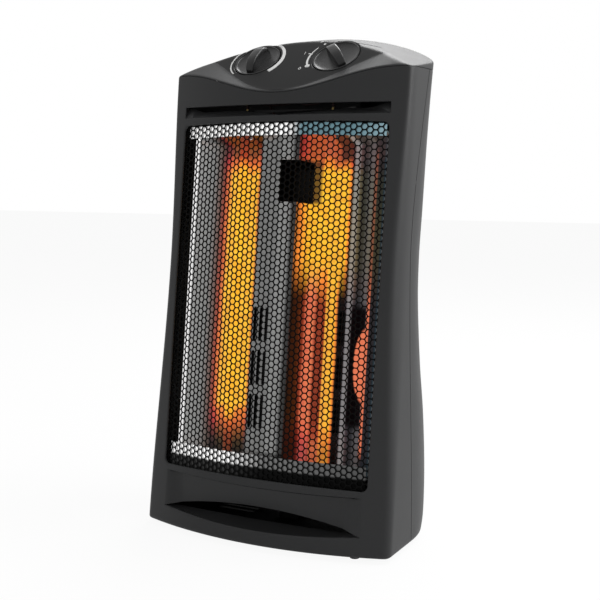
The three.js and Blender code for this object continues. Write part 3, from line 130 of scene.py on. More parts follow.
class Socket:
    """An output socket that takes part in node arithmetic."""

    def __init__(self, graph: "Graph", link: bpy.types.NodeSocket) -> None:
        """Wraps a socket of a graph."""
        self.graph = graph
        self.link = link

    def _math(self, operation: str, *values: Any) -> "Socket":
        """Adds a Math node on values and returns its result.

        Args:
            operation: The node's operation.
            values: Numbers or sockets.

        Returns:
            Its result.
        """
        settings = {"operation": operation}
        inputs = {index: value for index, value in enumerate(values)}
        return self.graph.node("ShaderNodeMath", settings, inputs).out(0)

    def __add__(self, other: Any) -> "Socket":
        """Sum."""
        return self._math("ADD", self, other)

    def __radd__(self, other: Any) -> "Socket":
        """Sum, reflected."""
        return self._math("ADD", other, self)

    def __sub__(self, other: Any) -> "Socket":
        """Difference."""
        return self._math("SUBTRACT", self, other)

    def __rsub__(self, other: Any) -> "Socket":
        """Difference, reflected."""
        return self._math("SUBTRACT", other, self)

    def __mul__(self, other: Any) -> "Socket":
        """Product."""
        return self._math("MULTIPLY", self, other)

    def __rmul__(self, other: Any) -> "Socket":
        """Product, reflected."""
        return self._math("MULTIPLY", other, self)

    def __truediv__(self, other: Any) -> "Socket":
        """Quotient."""
        return self._math("DIVIDE", self, other)

    def __rtruediv__(self, other: Any) -> "Socket":
        """Quotient, reflected."""
        return self._math("DIVIDE", other, self)

    def __pow__(self, other: Any) -> "Socket":
        """Power."""
        return self._math("POWER", self, other)

    def __neg__(self) -> "Socket":
        """Negative."""
        return self._math("MULTIPLY", self, -1.0)

    def __abs__(self) -> "Socket":
        """Absolute value."""
        return self._math("ABSOLUTE", self)

    def least(self, other: Any) -> "Socket":
        """The smaller of two."""
        return self._math("MINIMUM", self, other)

    def most(self, other: Any) -> "Socket":
        """The larger of two."""
        return self._math("MAXIMUM", self, other)

    def floor(self) -> "Socket":
        """The whole number below."""
        return self._math("FLOOR", self)

    def sign(self) -> "Socket":
        """Minus one, nought or one."""
        return self._math("SIGN", self)

    def sine(self) -> "Socket":
        """Sine of an angle in radians."""
        return self._math("SINE", self)

    def cosine(self) -> "Socket":
        """Cosine of an angle in radians."""
        return self._math("COSINE", self)

    def step(self, low: float, high: float) -> "Socket":
        """A smooth rise from nought at low to one at high.

        Args:
            low: Value where the rise begins.
            high: Value where the rise ends.

        Returns:
            The eased share between the two.
        """
        settings = {"interpolation_type": "SMOOTHSTEP"}
        inputs = {"Value": self, "From Min": low, "From Max": high, "To Min": 0.0, "To Max": 1.0}
        return self.graph.node("ShaderNodeMapRange", settings, inputs).out(0)


class Placed:
    """A node in a graph."""

    def __init__(self, graph: "Graph", node: bpy.types.Node) -> None:
        """Wraps a node of a graph."""
        self.graph = graph
        self.node = node

    def out(self, key: int | str = 0) -> Socket:
        """One of the node's outputs."""
        return Socket(self.graph, self.node.outputs[key])


class Graph:
    """A shader or geometry node tree under construction."""

    def __init__(self, tree: bpy.types.NodeTree) -> None:
        """Starts from an empty tree."""
        self.tree = tree
        tree.nodes.clear()

    def node(self, kind: str, settings: dict[str, Any] | None = None,
             inputs: dict[int | str, Any] | None = None) -> Placed:
        """Adds a node.

        Args:
            kind: The node's type.
            settings: Its properties, set first; "stops" are a ramp's places and colours.
            inputs: Values or sockets for its inputs, by name or number.

        Returns:
            The placed node.
        """
        node = self.tree.nodes.new(kind)
        for name, value in (settings or {}).items():
            if name == "stops":
                self._set_stops(node.color_ramp, value)
            else:
                setattr(node, name, value)
        for key, value in (inputs or {}).items():
            if isinstance(value, Socket):
                self.tree.links.new(value.link, node.inputs[key])
            else:
                node.inputs[key].default_value = value
        return Placed(self, node)

    @staticmethod
    def _set_stops(ramp: bpy.types.ColorRamp, stops: Stops) -> None:
        """Gives a ramp its places and colours.

        Args:
            ramp: The ramp.
            stops: Places from nought to one, and colours.
        """
        while len(ramp.elements) < len(stops):
            ramp.elements.new(1.0)
        for element, (place, colour) in zip(ramp.elements, stops):
            element.position = place
            element.color = (*colour, 1.0)

    def blend(self, share: Any, first: Any, second: Any, mode: str = "MIX") -> Socket:
        """Mixes two colours.

        Args:
            share: How much of the second, from nought to one.
            first: A colour or socket.
            second: A colour or socket.
            mode: The way of mixing.

        Returns:
            The mixed colour.
        """
        settings = {"data_type": "RGBA", "blend_type": mode, "clamp_factor": True}
        inputs = {0: share, 6: padded_colour(first), 7: padded_colour(second)}
        return self.node("ShaderNodeMix", settings, inputs).out(2)

    def tinted(self, first: Any, second: Any) -> Socket:
        """The product of two colours."""
        return self.blend(1.0, first, second, "MULTIPLY")

    def place(self, scale: Sequence[float] = (1.0, 1.0, 1.0)) -> Socket:
        """Object coordinates, stretched by a scale."""
        coordinates = self.node("ShaderNodeTexCoord").out("Object")
        return self.node("ShaderNodeMapping", {}, {"Vector": coordinates, "Scale": tuple(scale)}).out(0)

    def on_front(self) -> tuple[Socket, Socket]:
        """The place across and the height along the front's lean, both in millimetres."""
        x, y, z = self.parts(self.place())
        return x / MM, (z * math.cos(LEAN) + (y + SHIFT * MM) * math.sin(LEAN)) / MM

    def chart(self, value: Socket, stops: Stops) -> Socket:
        """A colour looked up at real places.

        Args:
            value: The place.
            stops: Places, in the value's own unit, and colours.

        Returns:
            The colour, that of the nearest end outside the chart.
        """
        low, high = stops[0][0], stops[-1][0]
        shares = [((place - low) / (high - low), colour) for place, colour in stops]
        share = (value - low) / (high - low)
        return self.node("ShaderNodeValToRGB", {"stops": shares}, {"Fac": share}).out("Color")

    def parts(self, vector: Socket) -> tuple[Socket, Socket, Socket]:
        """The three numbers of a vector."""
        node = self.node("ShaderNodeSeparateXYZ", {}, {0: vector})
        return node.out(0), node.out(1), node.out(2)

    def noise(self, vector: Socket, size: float, detail: float = 2.0) -> Socket:
        """Soft noise whose blotches are about a size in metres."""
        inputs = {"Vector": vector, "Scale": 1.0 / size, "Detail": detail}
        return self.node("ShaderNodeTexNoise", {"noise_dimensions": "3D"}, inputs).out(0)

    def bump(self, height: Socket, depth: float) -> Socket:
        """A relief of a depth in metres."""
        inputs = {"Height": height, "Distance": depth, "Strength": 1.0}
        return self.node("ShaderNodeBump", {}, inputs).out(0)

    def set_at(self, geometry: Socket, x: Any, y: Any, z: Any) -> Socket:
        """Geometry whose points are set at new places."""
        place = self.node("ShaderNodeCombineXYZ", {}, {0: x, 1: y, 2: z}).out(0)
        return self.node("GeometryNodeSetPosition", {}, {"Geometry": geometry, "Position": place}).out(0)

    def welded(self, geometry: Socket, distance: float) -> Socket:
        """Geometry whose points are merged within a distance in metres."""
        inputs = {"Geometry": geometry, "Distance": distance}
        return self.node("GeometryNodeMergeByDistance", {}, inputs).out(0)

    def seen_plainly(self) -> Socket:
        """One for rays from the camera, a reflection or a see-through surface, nought for lighting."""
        rays = self.node("ShaderNodeLightPath")
        return rays.out("Is Camera Ray").most(rays.out("Is Transmission Ray")).most(rays.out("Is Glossy Ray"))


def padded_colour(value: Any) -> Any:
    """A colour of four numbers, from one of three; sockets and numbers pass unchanged."""
    return (*value, 1.0) if isinstance(value, tuple) and len(value) == 3 else value


# Finishes


@dataclass(frozen=True)
class Finish:
    """A moulded or sprayed surface: colour, gloss, fine grain and slow mottling."""

    name: str
    colour: Colour
    roughness: float = 0.5
    metallic: float = 0.0
    mottle: float = 0.08
    mottle_size: float = 0.045
    grain_size: float = 0.0007
    grain_depth: float = 0.00002
    gloss_spread: float = 0.06
    specular: float = 0.5

    def surface(self, graph: Graph) -> dict[str, Any]:
        """The inputs of the surface's shader.

        Args:
            graph: The material's tree.

        Returns:
            Values and sockets by the shader's input names.
        """
        place = graph.place()
        slow = graph.noise(place, self.mottle_size, 3.0)
        fine = graph.noise(place, self.grain_size)
        shade = (slow - 0.5) * (2.0 * self.mottle) + (fine - 0.5) * self.mottle + 1.0
        scaled = graph.node("ShaderNodeVectorMath", {"operation": "SCALE"}, {0: self.colour, "Scale": shade})
        return {
            "Base Color": scaled.out(0),
            "Roughness": (slow - 0.5) * self.gloss_spread + (fine - 0.5) * self.gloss_spread + self.roughness,
            "Metallic": self.metallic,
            "Specular IOR Level": self.specular,
            "Normal": graph.bump(fine, self.grain_depth),
        }

    def build(self) -> bpy.types.Material:
        """Makes the material.

        Returns:
            A material whose shader is one Principled node.
        """
        material = bpy.data.materials.new(self.name)
        material.use_nodes = True
        graph = Graph(material.node_tree)
        shader = graph.node("ShaderNodeBsdfPrincipled", {}, self.surface(graph)).out(0)
        graph.node("ShaderNodeOutputMaterial", {}, {"Surface": shader})
        return material


@dataclass(frozen=True)
class RolledSteel(Finish):
    """Sheet steel with the fine lines of its rolling along one axis."""

    metallic: float = 1.0
    line_size: float = 0.0006
    line_depth: float = 0.18
    line_stretch: tuple[float, float, float] = (1.0, 1.0, 0.03)

    def surface(self, graph: Graph) -> dict[str, Any]:
        """Adds rolling lines.

        Args:
            graph: The material's tree.

        Returns:
            The inputs, with rolling lines.
        """
        inputs = super().surface(graph)
        lines = graph.noise(graph.place(self.line_stretch), self.line_size, 3.0)
        inputs["Roughness"] = (lines - 0.5) * self.line_depth + inputs["Roughness"]
        inputs["Normal"] = graph.bump(lines, self.grain_depth)
        return inputs


@dataclass(frozen=True)
class PaintedLightSheet(RolledSteel):
    """Sheet steel whose colour carries painted reflections and painted shade, charted across and along the
    front's lean.
    """

    tones_across: Stops = ((0.0, WHITE), (1.0, WHITE))
    tones_up: Stops = ((0.0, WHITE), (1.0, WHITE))
    # Strength of the painted sheen: the tones shown again as faint emission.
    gleam: float = 0.0

    def surface(self, graph: Graph) -> dict[str, Any]:
        """Adds the painted reflections and shade, and a faint painted sheen as emission.

        Args:
            graph: The material's tree.

        Returns:
            The inputs, with painted reflections and shade in the colour and a faint painted sheen.
        """
        inputs = super().surface(graph)
        x, rise = graph.on_front()
        tone = graph.tinted(graph.chart(x, self.tones_across), graph.chart(rise, self.tones_up))
        inputs["Base Color"] = graph.tinted(inputs["Base Color"], tone)
        # Painted sheen: the tones glow faintly, standing in for the surroundings' reflection caught through
        # the grille.
        inputs["Emission Color"] = tone
        inputs["Emission Strength"] = self.gleam
        return inputs


@dataclass(frozen=True)
class LitSheet(PaintedLightSheet):
    """The reflector: sheet whose emission paints the two tubes' glow as a reflection, with painted dark
    reflections of the slots.
    """

    # Painted sheen and reflections across the pan, added to the glow: the bright flange, greys and the bluish
    # darks of the trough.
    gleam_across: Stops = (
        (-131, grey(0.75)), (-125.6, grey(0.75)), (-124.9, grey(0.10)), (-118, grey(0.09)),
        (-110, grey(0.055)), (-99, (0.032, 0.026, 0.022)), (-94, BLACK), (77.5, BLACK), (79, grey(0.19)),
        (84.5, grey(0.17)), (87, (0.010, 0.014, 0.016)), (96, (0.010, 0.014, 0.016)), (99, grey(0.05)),
        (106, grey(0.06)), (108, grey(0.02)), (113, (0.006, 0.012, 0.016)), (124, (0.006, 0.014, 0.018)),
        (126, grey(0.04)), (131, grey(0.04)))
    # Painted reflection of the tubes' glow: these stops chart the left and right tubes' images across and up
    # the pan.
    left_across: Stops = (
        (-107, BLACK), (-99, (0.06, 0.006, 0.003)), (-94, (0.36, 0.05, 0.02)), (-90, (0.8, 0.2, 0.04)),
        (-85, YELLOW_HEAT), (-53, YELLOW_HEAT), (-49, (0.6, 0.15, 0.02)), (-45, BLACK))
    left_up: Stops = (
        (100, BLACK), (114, (0.05, 0.05, 0.2)), (126, (0.25, 0.13, 0.4)), (138, (0.7, 0.3, 1.0)),
        (150, (0.9, 0.5, 1.0)), (160, WHITE), (436, WHITE), (446, (0.95, 0.55, 1.0)),
        (453, (0.75, 0.28, 1.0)), (462, (0.28, 0.13, 0.5)), (480, (0.18, 0.09, 0.3)), (490, BLACK))
    right_high: Stops = (
        (24, BLACK), (27, ORANGE_HEAT), (30, YELLOW_HEAT), (70, YELLOW_HEAT), (74, ORANGE_HEAT),
        (76.5, BLACK))
    right_low: Stops = (
        (24, BLACK), (28, (0.04, 0.004, 0.002)), (30, (0.22, 0.03, 0.01)), (32, (0.72, 0.16, 0.075)),
        (38, (0.80, 0.20, 0.08)), (42, (0.2, 0.02, 0.008)), (47, (0.25, 0.03, 0.01)),
        (51, (0.9, 0.4, 0.04)), (62, YELLOW_HEAT), (65, ORANGE_HEAT), (67.5, BLACK))
    right_up: Stops = (
        (96, (0.55, 0.42, 0.8)), (116, (0.62, 0.45, 0.8)), (126, (0.85, 0.55, 0.8)),
        (140, (1.0, 0.85, 0.9)), (150, WHITE), (440, WHITE), (450, (0.8, 0.4, 1.0)),
        (458, (0.52, 0.2, 1.0)), (490, (0.45, 0.17, 1.0)))
    turn: tuple[float, float] = (290.0, 345.0)
    wander: float = 5.0
    curl_share: float = 0.55
    opening_share: float = 0.88
    corner_share: float = 0.85
    line_share: float = 0.85
    line_fade: float = 0.75
    dark_share: float = 0.94
    middle: tuple[float, float] = (0.0, 10.0)
    # Painted shade on the right tube's image, beside the cut-out and at its upper corner, in the dimmed
    # colour.
    opening_shade: tuple[float, float, float, float] = (37.0, 41.0, 403.0, 453.0)
    dim_corner: tuple[float, float] = (59.0, 455.0)
    dimmed: Colour = (0.03, 0.015, 0.01)
    curl_tint: Colour = (0.80, 0.60, 0.8)
    # Painted red reflections: an oval lens and a thin line up the pan.
    lens_centre: tuple[float, float] = (109.0, 219.0)
    lens_reach: tuple[float, float] = (17.0, 43.0)
    lens_end: tuple[float, float] = (109.0, 110.0)
    thin_line: tuple[float, float] = (107.6, 112.3)
    line_rise: tuple[float, float] = (118.0, 462.0)
    line_turn: tuple[float, float] = (270.0, 340.0)
    # Painted dark reflections of the slots in the far side of the trough.
    slot_reflection_field: tuple[float, float, float, float] = (85.5, 107.0, 146.0, 287.0)
    painted_dark_reflection: Colour = (0.004, 0.004, 0.006)
    reflected_red: Colour = (0.78, 0.19, 0.09)

    def surface(self, graph: Graph) -> dict[str, Any]:
        """Adds the tubes' painted reflected glow, painted red reflections and the painted dark reflections of
        the slots in the far side of the trough.

        Args:
            graph: The material's tree.

        Returns:
            The inputs, with the painted glow as emission.
        """
        inputs = super().surface(graph)
        x, rise = graph.on_front()
        # The tubes' images are painted as emission, a painted reflection of their glow.
        wander = (graph.noise(graph.place((1.0, 1.0, 0.25)), 0.02) - 0.5) * self.wander
        left = graph.tinted(graph.chart(x + wander, self.left_across),
                            graph.chart(rise + wander * 3.0, self.left_up))
        right = graph.blend(x.step(*self.middle), BLACK, self.right_glow(graph, x, rise, wander))
        glow = graph.blend(1.0, left, right, "ADD")
        curls = graph.noise(graph.place(), 0.007, 1.0).step(0.42, 0.62)
        glow = graph.blend(curls * self.curl_share, glow, graph.tinted(glow, self.curl_tint))
        # Painted sheen across the pan.
        glow = graph.blend(1.0, glow, graph.chart(x, self.gleam_across), "ADD")
        # Painted dark reflections of the slots, then painted red reflections in the lens and along the thin
        # line.
        dark = self.window(x, *self.slot_reflection_field[:2], 1.5) * self.window(rise, *self.slot_reflection_field[2:], 6.0)
        # Painted red reflection in an oval lens and along a thin line.
        far = (((x - self.lens_centre[0]) / self.lens_reach[0]) ** 2.0
               + ((rise - self.lens_centre[1]) / self.lens_reach[1]) ** 2.0)
        lens = (1.0 - far.step(0.8, 1.05)) * (1.0 - x.step(*self.lens_end))
        line = self.window(x, *self.thin_line, 0.5) * self.window(rise, *self.line_rise, 8.0)
        line = line * (1.0 - rise.step(*self.line_turn) * self.line_fade)
        red = lens.most(line * self.line_share)
        glow = graph.blend(red, graph.blend(dark, glow, BLACK), self.reflected_red)
        shade = dark.most(lens) * self.dark_share
        # The base colour goes dark under the painted reflections of the slots and the lens.
        inputs["Base Color"] = graph.blend(shade, inputs["Base Color"], self.painted_dark_reflection)
        inputs["Emission Color"] = glow
        inputs["Emission Strength"] = 1.0
        return inputs

    def right_glow(self, graph: Graph, x: Socket, rise: Socket, wander: Socket) -> Socket:
        """The right tube's painted reflection: broad above, parted below, with painted shade beside the
        cut-out and at its upper corner.

        Args:
            graph: The material's tree.
            x: The place across.
            rise: The height along the lean.
            wander: How far the image's edges stray.

        Returns:
            The painted reflection's colour.
        """
        across = graph.blend(rise.step(*self.turn), graph.chart(x + wander, self.right_low),
                             graph.chart(x + wander * 0.5, self.right_high))
        image = graph.tinted(across, graph.chart(rise + wander * 3.0, self.right_up))
        # Painted shade beside the cut-out and at the upper corner.
        x0, x1, low, high = self.opening_shade
        shade = (1.0 - x.step(x0, x1)) * self.window(rise, low, high, 3.0)
        corner_x, corner_rise = self.dim_corner
        corner = x.step(corner_x - 3, corner_x + 3) * rise.step(corner_rise - 4, corner_rise + 4)
        return graph.blend((shade * self.opening_share).most(corner * self.corner_share), image, self.dimmed)

    @staticmethod
    def window(value: Socket, low: float, high: float, soft: float) -> Socket:
        """One between two values, nought outside, with soft edges."""
        return value.step(low - soft, low + soft) * (1.0 - value.step(high - soft, high + soft))


@dataclass(frozen=True)
class Glow(Finish):
    """Hot wire or quartz, its heat charted along the front's lean."""

    heat: Stops = ((0.0, BLACK), (1.0, BLACK))
    strength: float = 1.0
    bead: float = 0.0
    bead_pitch: float = 4.2
    bright_bead: Colour = (1.0, 1.25, 1.5)
    dull_bead: Colour = (0.9, 0.55, 0.5)

    def surface(self, graph: Graph) -> dict[str, Any]:
        """Adds the glow, brighter where the coil's curls lie close.

        Args:
            graph: The material's tree.

        Returns:
            The inputs, with the heat as emission.
        """
        inputs = super().surface(graph)
        place = graph.place()
        _, rise = graph.on_front()
        heat = graph.chart(rise + (graph.noise(place, 0.03, 1.0) - 0.5) * 16.0, self.heat)
        if self.bead:
            curls = (rise * (2.0 * math.pi / self.bead_pitch)).sine() * 0.5 + 0.5
            patches = graph.noise(place, 0.012, 1.0).step(0.42, 0.62)
            heat = graph.blend(curls * patches * self.bead, heat, graph.tinted(heat, self.bright_bead))
            heat = graph.blend((1.0 - patches) * (self.bead * 0.5), heat, graph.tinted(heat, self.dull_bead))
        inputs["Emission Color"] = heat
        inputs["Emission Strength"] = self.strength
        return inputs


@dataclass(frozen=True)
class Quartz(Glow):
    """A milky quartz tube lit from inside, partly see-through."""

    see_through: float = 0.35

    def surface(self, graph: Graph) -> dict[str, Any]:
        """Adds the tube's thinness.

        Args:
            graph: The material's tree.

        Returns:
            The inputs, with the opacity.
        """
        inputs = super().surface(graph)
        inputs["Alpha"] = 1.0 - self.see_through
        return inputs


@dataclass(frozen=True)
class Print(Finish):
    """Pad-printed marks with slightly worn ink."""

    def surface(self, graph: Graph) -> dict[str, Any]:
        """Adds the ink's worn spots.

        Args:
            graph: The material's tree.

        Returns:
            The inputs, with worn colour.
        """
        inputs = super().surface(graph)
        worn = graph.noise(graph.place(), 0.0012, 3.0).step(0.68, 0.8)
        inputs["Base Color"] = graph.blend(worn * 0.5, inputs["Base Color"], (0.2, 0.2, 0.2))
        return inputs


SHELL_PLASTIC = Finish("charcoal_shell", (0.027, 0.0274, 0.0282), 0.44, grain_size=0.0008,
                       grain_depth=0.00003, mottle=0.05, gloss_spread=0.08, specular=0.2)
PANEL_PLASTIC = Finish("black_panel", (0.005, 0.005, 0.0052), 0.3, grain_size=0.0006, grain_depth=0.00001,
                       specular=0.1)
KNOB_PLASTIC = Finish("knob_black", (0.008, 0.008, 0.0083), 0.27, grain_size=0.0006, grain_depth=0.00001,
                      specular=0.32)
WHITE_PRINT = Print("white_print", (0.80, 0.80, 0.79), 0.5)
BLACK_ENAMEL = Finish("grille_enamel", (0.003, 0.003, 0.003), 0.55, grain_size=0.0005, grain_depth=0.00001,
                      specular=0.05)
# The reflector's tones across are painted reflections and shade: the bright flange, greys that darken to
# brown towards the glow, the dark troughs and the bluish darks on the right.
REFLECTOR_SHEET = LitSheet(
    "reflector_sheet", (0.97, 0.97, 0.96), 0.34, grain_depth=0.000004, mottle=0.06, tones_across=(
        (-131, grey(0.95)), (-125.6, grey(0.95)), (-124.9, grey(0.45)), (-108, grey(0.32)),
        (-99, (0.13, 0.10, 0.085)), (-94, grey(0.05)), (-53, grey(0.03)), (-47, grey(0.14)),
        (-26, grey(0.16)), (-24, grey(0.37)), (1.5, grey(0.34)), (2.5, grey(0.44)), (16, grey(0.42)),
        (19, grey(0.12)), (26, grey(0.04)), (74, grey(0.03)), (77, (0.15, 0.20, 0.27)),
        (88, (0.14, 0.18, 0.24)), (91, (0.045, 0.06, 0.08)), (101, (0.045, 0.06, 0.08)),
        (103, (0.12, 0.15, 0.19)),
        (107, (0.12, 0.15, 0.19)), (108, (0.05, 0.06, 0.075)), (113, (0.05, 0.06, 0.075)),
        (115, (0.03, 0.045, 0.06)), (125, (0.03, 0.045, 0.06)), (126, grey(0.12)), (131, grey(0.12))))
# The upper strip: painted reflection, white at the left fading to teal at the right, shown again as a painted
# sheen.
TOP_STRIP = PaintedLightSheet(
    "upper_strip", (0.97, 0.97, 0.96), 0.28, grain_depth=0.000004, line_stretch=(0.03, 1.0, 1.0), gleam=0.3,
    mottle=0.12, mottle_size=0.012, tones_across=(
        (-131, grey(0.97)), (12, grey(0.85)), (22, grey(0.5)), (32, (0.11, 0.19, 0.22)),
        (90, (0.10, 0.18, 0.21)), (131, (0.20, 0.30, 0.34))))
# The lower strip: painted reflection, white at the left to dark at the right, with painted shade along its
# lower edge and a painted sheen.
BOTTOM_STRIP = replace(
    TOP_STRIP, name="lower_strip", gleam=0.32, tones_across=(
        (-131, grey(0.98)), (-45, grey(0.95)), (-12, grey(0.36)), (8, grey(0.13)), (131, grey(0.06))),
    tones_up=((92, grey(0.03)), (93.5, grey(0.06)), (95.5, WHITE), (116, WHITE)))
BRIGHT_SHEET = RolledSteel("bright_sheet", (0.55, 0.55, 0.54), 0.30, grain_depth=0.000004, mottle=0.03)
ZINC_STEEL = RolledSteel("zinc_steel", (0.42, 0.42, 0.43), 0.38)
BLACK_PHENOLIC = Finish("black_phenolic", (0.006, 0.006, 0.006), 0.55, specular=0.15)
BLACK_RUBBER = Finish("black_rubber", (0.012, 0.012, 0.012), 0.8, grain_size=0.0012, grain_depth=0.00005,
                      specular=0.2)
WHITE_CERAMIC = Finish("white_ceramic", (0.78, 0.76, 0.72), 0.55, grain_size=0.0009, grain_depth=0.00002)
PLAIN_BRASS = Finish("plain_brass", (0.60, 0.45, 0.18), 0.32, metallic=1.0)
SOOTED_STEEL = RolledSteel("sooted_steel", (0.012, 0.012, 0.013), 0.6)
# Both leads are darkened far below their own colour: painted shade for the leads seen in the dark inside the
# body.
RED_SILICONE = Finish("red_silicone", (0.035, 0.006, 0.005), 0.5, grain_size=0.0005)
WHITE_SILICONE = Finish("white_silicone", (0.09, 0.085, 0.08), 0.5, grain_size=0.0005)
LEFT_HEAT: Stops = (
    (88, BLACK), (100, (0.06, 0.02, 0.01)), (124, (0.25, 0.05, 0.02)), (138, (0.7, 0.15, 0.035)),
    (154, YELLOW_HEAT), (438, YELLOW_HEAT), (448, ORANGE_HEAT), (456, (0.45, 0.06, 0.02)),
    (478, (0.16, 0.02, 0.008)), (484, BLACK))
RIGHT_HEAT: Stops = (
    (88, BLACK), (100, (0.4, 0.09, 0.04)), (124, (0.55, 0.13, 0.05)), (138, (0.35, 0.05, 0.02)),
    (155, (0.2, 0.025, 0.01)), (285, (0.25, 0.03, 0.01)), (315, ORANGE_HEAT), (335, YELLOW_HEAT),
    (438, YELLOW_HEAT), (450, ORANGE_HEAT), (458, (0.55, 0.12, 0.05)), (478, (0.42, 0.09, 0.04)),
    (484, BLACK))
HOT_WIRE = Glow("hot_wire", (0.25, 0.10, 0.05), 0.6, strength=1.2, heat=LEFT_HEAT)
HOT_QUARTZ = Quartz("hot_quartz", (0.10, 0.05, 0.02), 0.3, strength=0.95, bead=0.6, heat=LEFT_HEAT,
                    specular=0.2)
DULL_WIRE = replace(HOT_WIRE, name="dull_wire", heat=RIGHT_HEAT)
DULL_QUARTZ = replace(HOT_QUARTZ, name="dull_quartz", heat=RIGHT_HEAT)


class Paints:
    """The materials, each made once."""

    BY_SLOT = {
        Slot.SHELL: SHELL_PLASTIC, Slot.PANEL: PANEL_PLASTIC, Slot.KNOB: KNOB_PLASTIC,
        Slot.BLACK_STEEL: BLACK_ENAMEL, Slot.BRIGHT_STEEL: BRIGHT_SHEET, Slot.PLAIN_STEEL: ZINC_STEEL,
        Slot.QUARTZ: HOT_QUARTZ, Slot.WIRE: HOT_WIRE, Slot.CERAMIC: WHITE_CERAMIC, Slot.BRASS: PLAIN_BRASS,
        Slot.BLACK_PLASTIC: BLACK_PHENOLIC, Slot.RUBBER: BLACK_RUBBER, Slot.RED_LEAD: RED_SILICONE,
        Slot.WHITE_LEAD: WHITE_SILICONE}

    def __init__(self) -> None:
        """Starts with no materials made."""
        self.made: dict[str, bpy.types.Material] = {}

    def get(self, finish: Finish) -> bpy.types.Material:
        """The material of a finish, made at its first use.

        Args:
            finish: The finish.

        Returns:
            Its material.
        """
        if finish.name not in self.made:
            self.made[finish.name] = finish.build()
        return self.made[finish.name]


PAINTS = Paints()


# Solids


class Solid:
    """A closed mesh that other solids are cut from, joined to or kept within."""

    def __init__(self, points: Array | Sequence[Sequence[float]], faces: Iterable[Sequence[int]]) -> None:
        """Makes the mesh.

        Args:
            points: Corners in millimetres, depths measured from the foot of the front.
            faces: Corner numbers of each face, turning outwards.
        """
        self.mesh = raw_mesh("solid", (np.asarray(points, float) - (0.0, SHIFT, 0.0)) * MM, faces)

    @classmethod
    def of_mesh(cls, mesh: bpy.types.Mesh) -> "Solid":
        """Wraps a mesh that is already in metres and in place.

        Args:
            mesh: The mesh.

        Returns:
            The solid.
        """
        solid = cls.__new__(cls)
        solid.mesh = mesh
        return solid

    def outwards(self) -> "Solid":
        """Turns all faces outwards after merging doubles.

        Returns:
            The same solid.
        """
        work = bmesh.new()
        work.from_mesh(self.mesh)
        bmesh.ops.remove_doubles(work, verts=work.verts, dist=1e-7)
        bmesh.ops.recalc_face_normals(work, faces=work.faces)
        work.to_mesh(self.mesh)
        work.free()
        return self

    def joined(self, others: Iterable["Solid"], how: Join) -> "Solid":
        """The result of a Boolean with other solids, one after the other.

        Args:
            others: The other solids.
            how: Cut, add or keep.

        Returns:
            A new solid.
        """
        mesh = self.mesh
        for other in others:
            first, second = scene_object("first", mesh), scene_object("second", other.mesh)
            modifier = first.modifiers.new("join", "BOOLEAN")
            modifier.solver = "MANIFOLD"
            modifier.operation = how.value
            modifier.object = second
            mesh = plain_mesh(first)
            bpy.data.objects.remove(second)
        return Solid.of_mesh(mesh)

    def cut(self, *others: "Solid") -> "Solid":
        """Everything outside the others."""
        return self.joined(others, Join.CUT)

    def add(self, *others: "Solid") -> "Solid":
        """Everything inside any of them."""
        return self.joined(others, Join.ADD)

    def keep(self, other: "Solid") -> "Solid":
        """What is inside both."""
        return self.joined([other], Join.KEEP)


def raw_mesh(name: str, points: Array, faces: Iterable[Sequence[int]]) -> bpy.types.Mesh:
    """A mesh of points, in metres, and faces.

    Args:
        name: Its name.
        points: Its corners.
        faces: Corner numbers of each face.

    Returns:
        The mesh.
    """
    mesh = bpy.data.meshes.new(name)
    mesh.from_pydata(np.asarray(points).tolist(), [], [tuple(map(int, face)) for face in faces])
    mesh.update()
    return mesh


def scene_object(name: str, data: bpy.types.ID) -> bpy.types.Object:
    """Puts a mesh, a curve, a lamp or a camera into the scene as an object at the origin.

    Args:
        name: The object's name.
        data: What it shows or does.

    Returns:
        The object.
    """
    item = bpy.data.objects.new(name, data)
    bpy.context.scene.collection.objects.link(item)
    return item


def plain_mesh(item: bpy.types.Object) -> bpy.types.Mesh:
    """The plain mesh that an object's modifiers give; the object goes.

    Args:
        item: The object.

    Returns:
        The mesh.
    """
    bpy.context.view_layer.update()
    graph = bpy.context.evaluated_depsgraph_get()
    mesh = bpy.data.meshes.new_from_object(item.evaluated_get(graph))
    bpy.data.objects.remove(item)
    return mesh


def finished_piece(name: str, solid: Solid, finish: Finish, slot: Slot, body: Body = Body.HEATER,
                   replaces: Sequence[str] = (), crease: float = 32.0) -> None:
    """Turns a solid into a finished piece of the object.

    Args:
        name: The piece's name.
        solid: Its form.
        finish: Its surface.
        slot: The record's slot; not used.
        body: The body that it rides on.
        replaces: CAD nodes that it stands for.
        crease: The angle in degrees from which an edge stays sharp.
    """
    mesh = solid.mesh
    mesh.name = name
    mesh.materials.clear()
    mesh.materials.append(PAINTS.get(finish))
    mesh.polygons.foreach_set("material_index", np.zeros(len(mesh.polygons), np.int32))
    mesh.polygons.foreach_set("use_smooth", np.ones(len(mesh.polygons), bool))
    mesh.set_sharp_from_angle(angle=math.radians(crease))
    item = scene_object(name, mesh)
    if replaces:
        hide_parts(*replaces)
    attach(item, body.value)
    log.info("%s: %d faces", name, len(mesh.polygons))


def closed_rows(rows: Sequence[Array], endless: bool = False) -> tuple[Array, list[tuple[int, ...]]]:
    """A closed mesh through rings of equal count.

    Args:
        rows: Rings of points, each going round the same way.
        endless: Whether the last ring meets the first; otherwise both are capped.

    Returns:
        The points and the faces.
    """
    count = len(rows[0])
    around = np.arange(count)
    after = (around + 1) % count
    faces: list[tuple[int, ...]] = []
    for row in range(len(rows) if endless else len(rows) - 1):
        low, high = row * count, (row + 1) % len(rows) * count
        faces.extend(zip(low + around, low + after, high + after, high + around))
    if not endless:
        faces += [tuple(around[::-1]), tuple(around + (len(rows) - 1) * count)]
    return np.concatenate(rows), faces


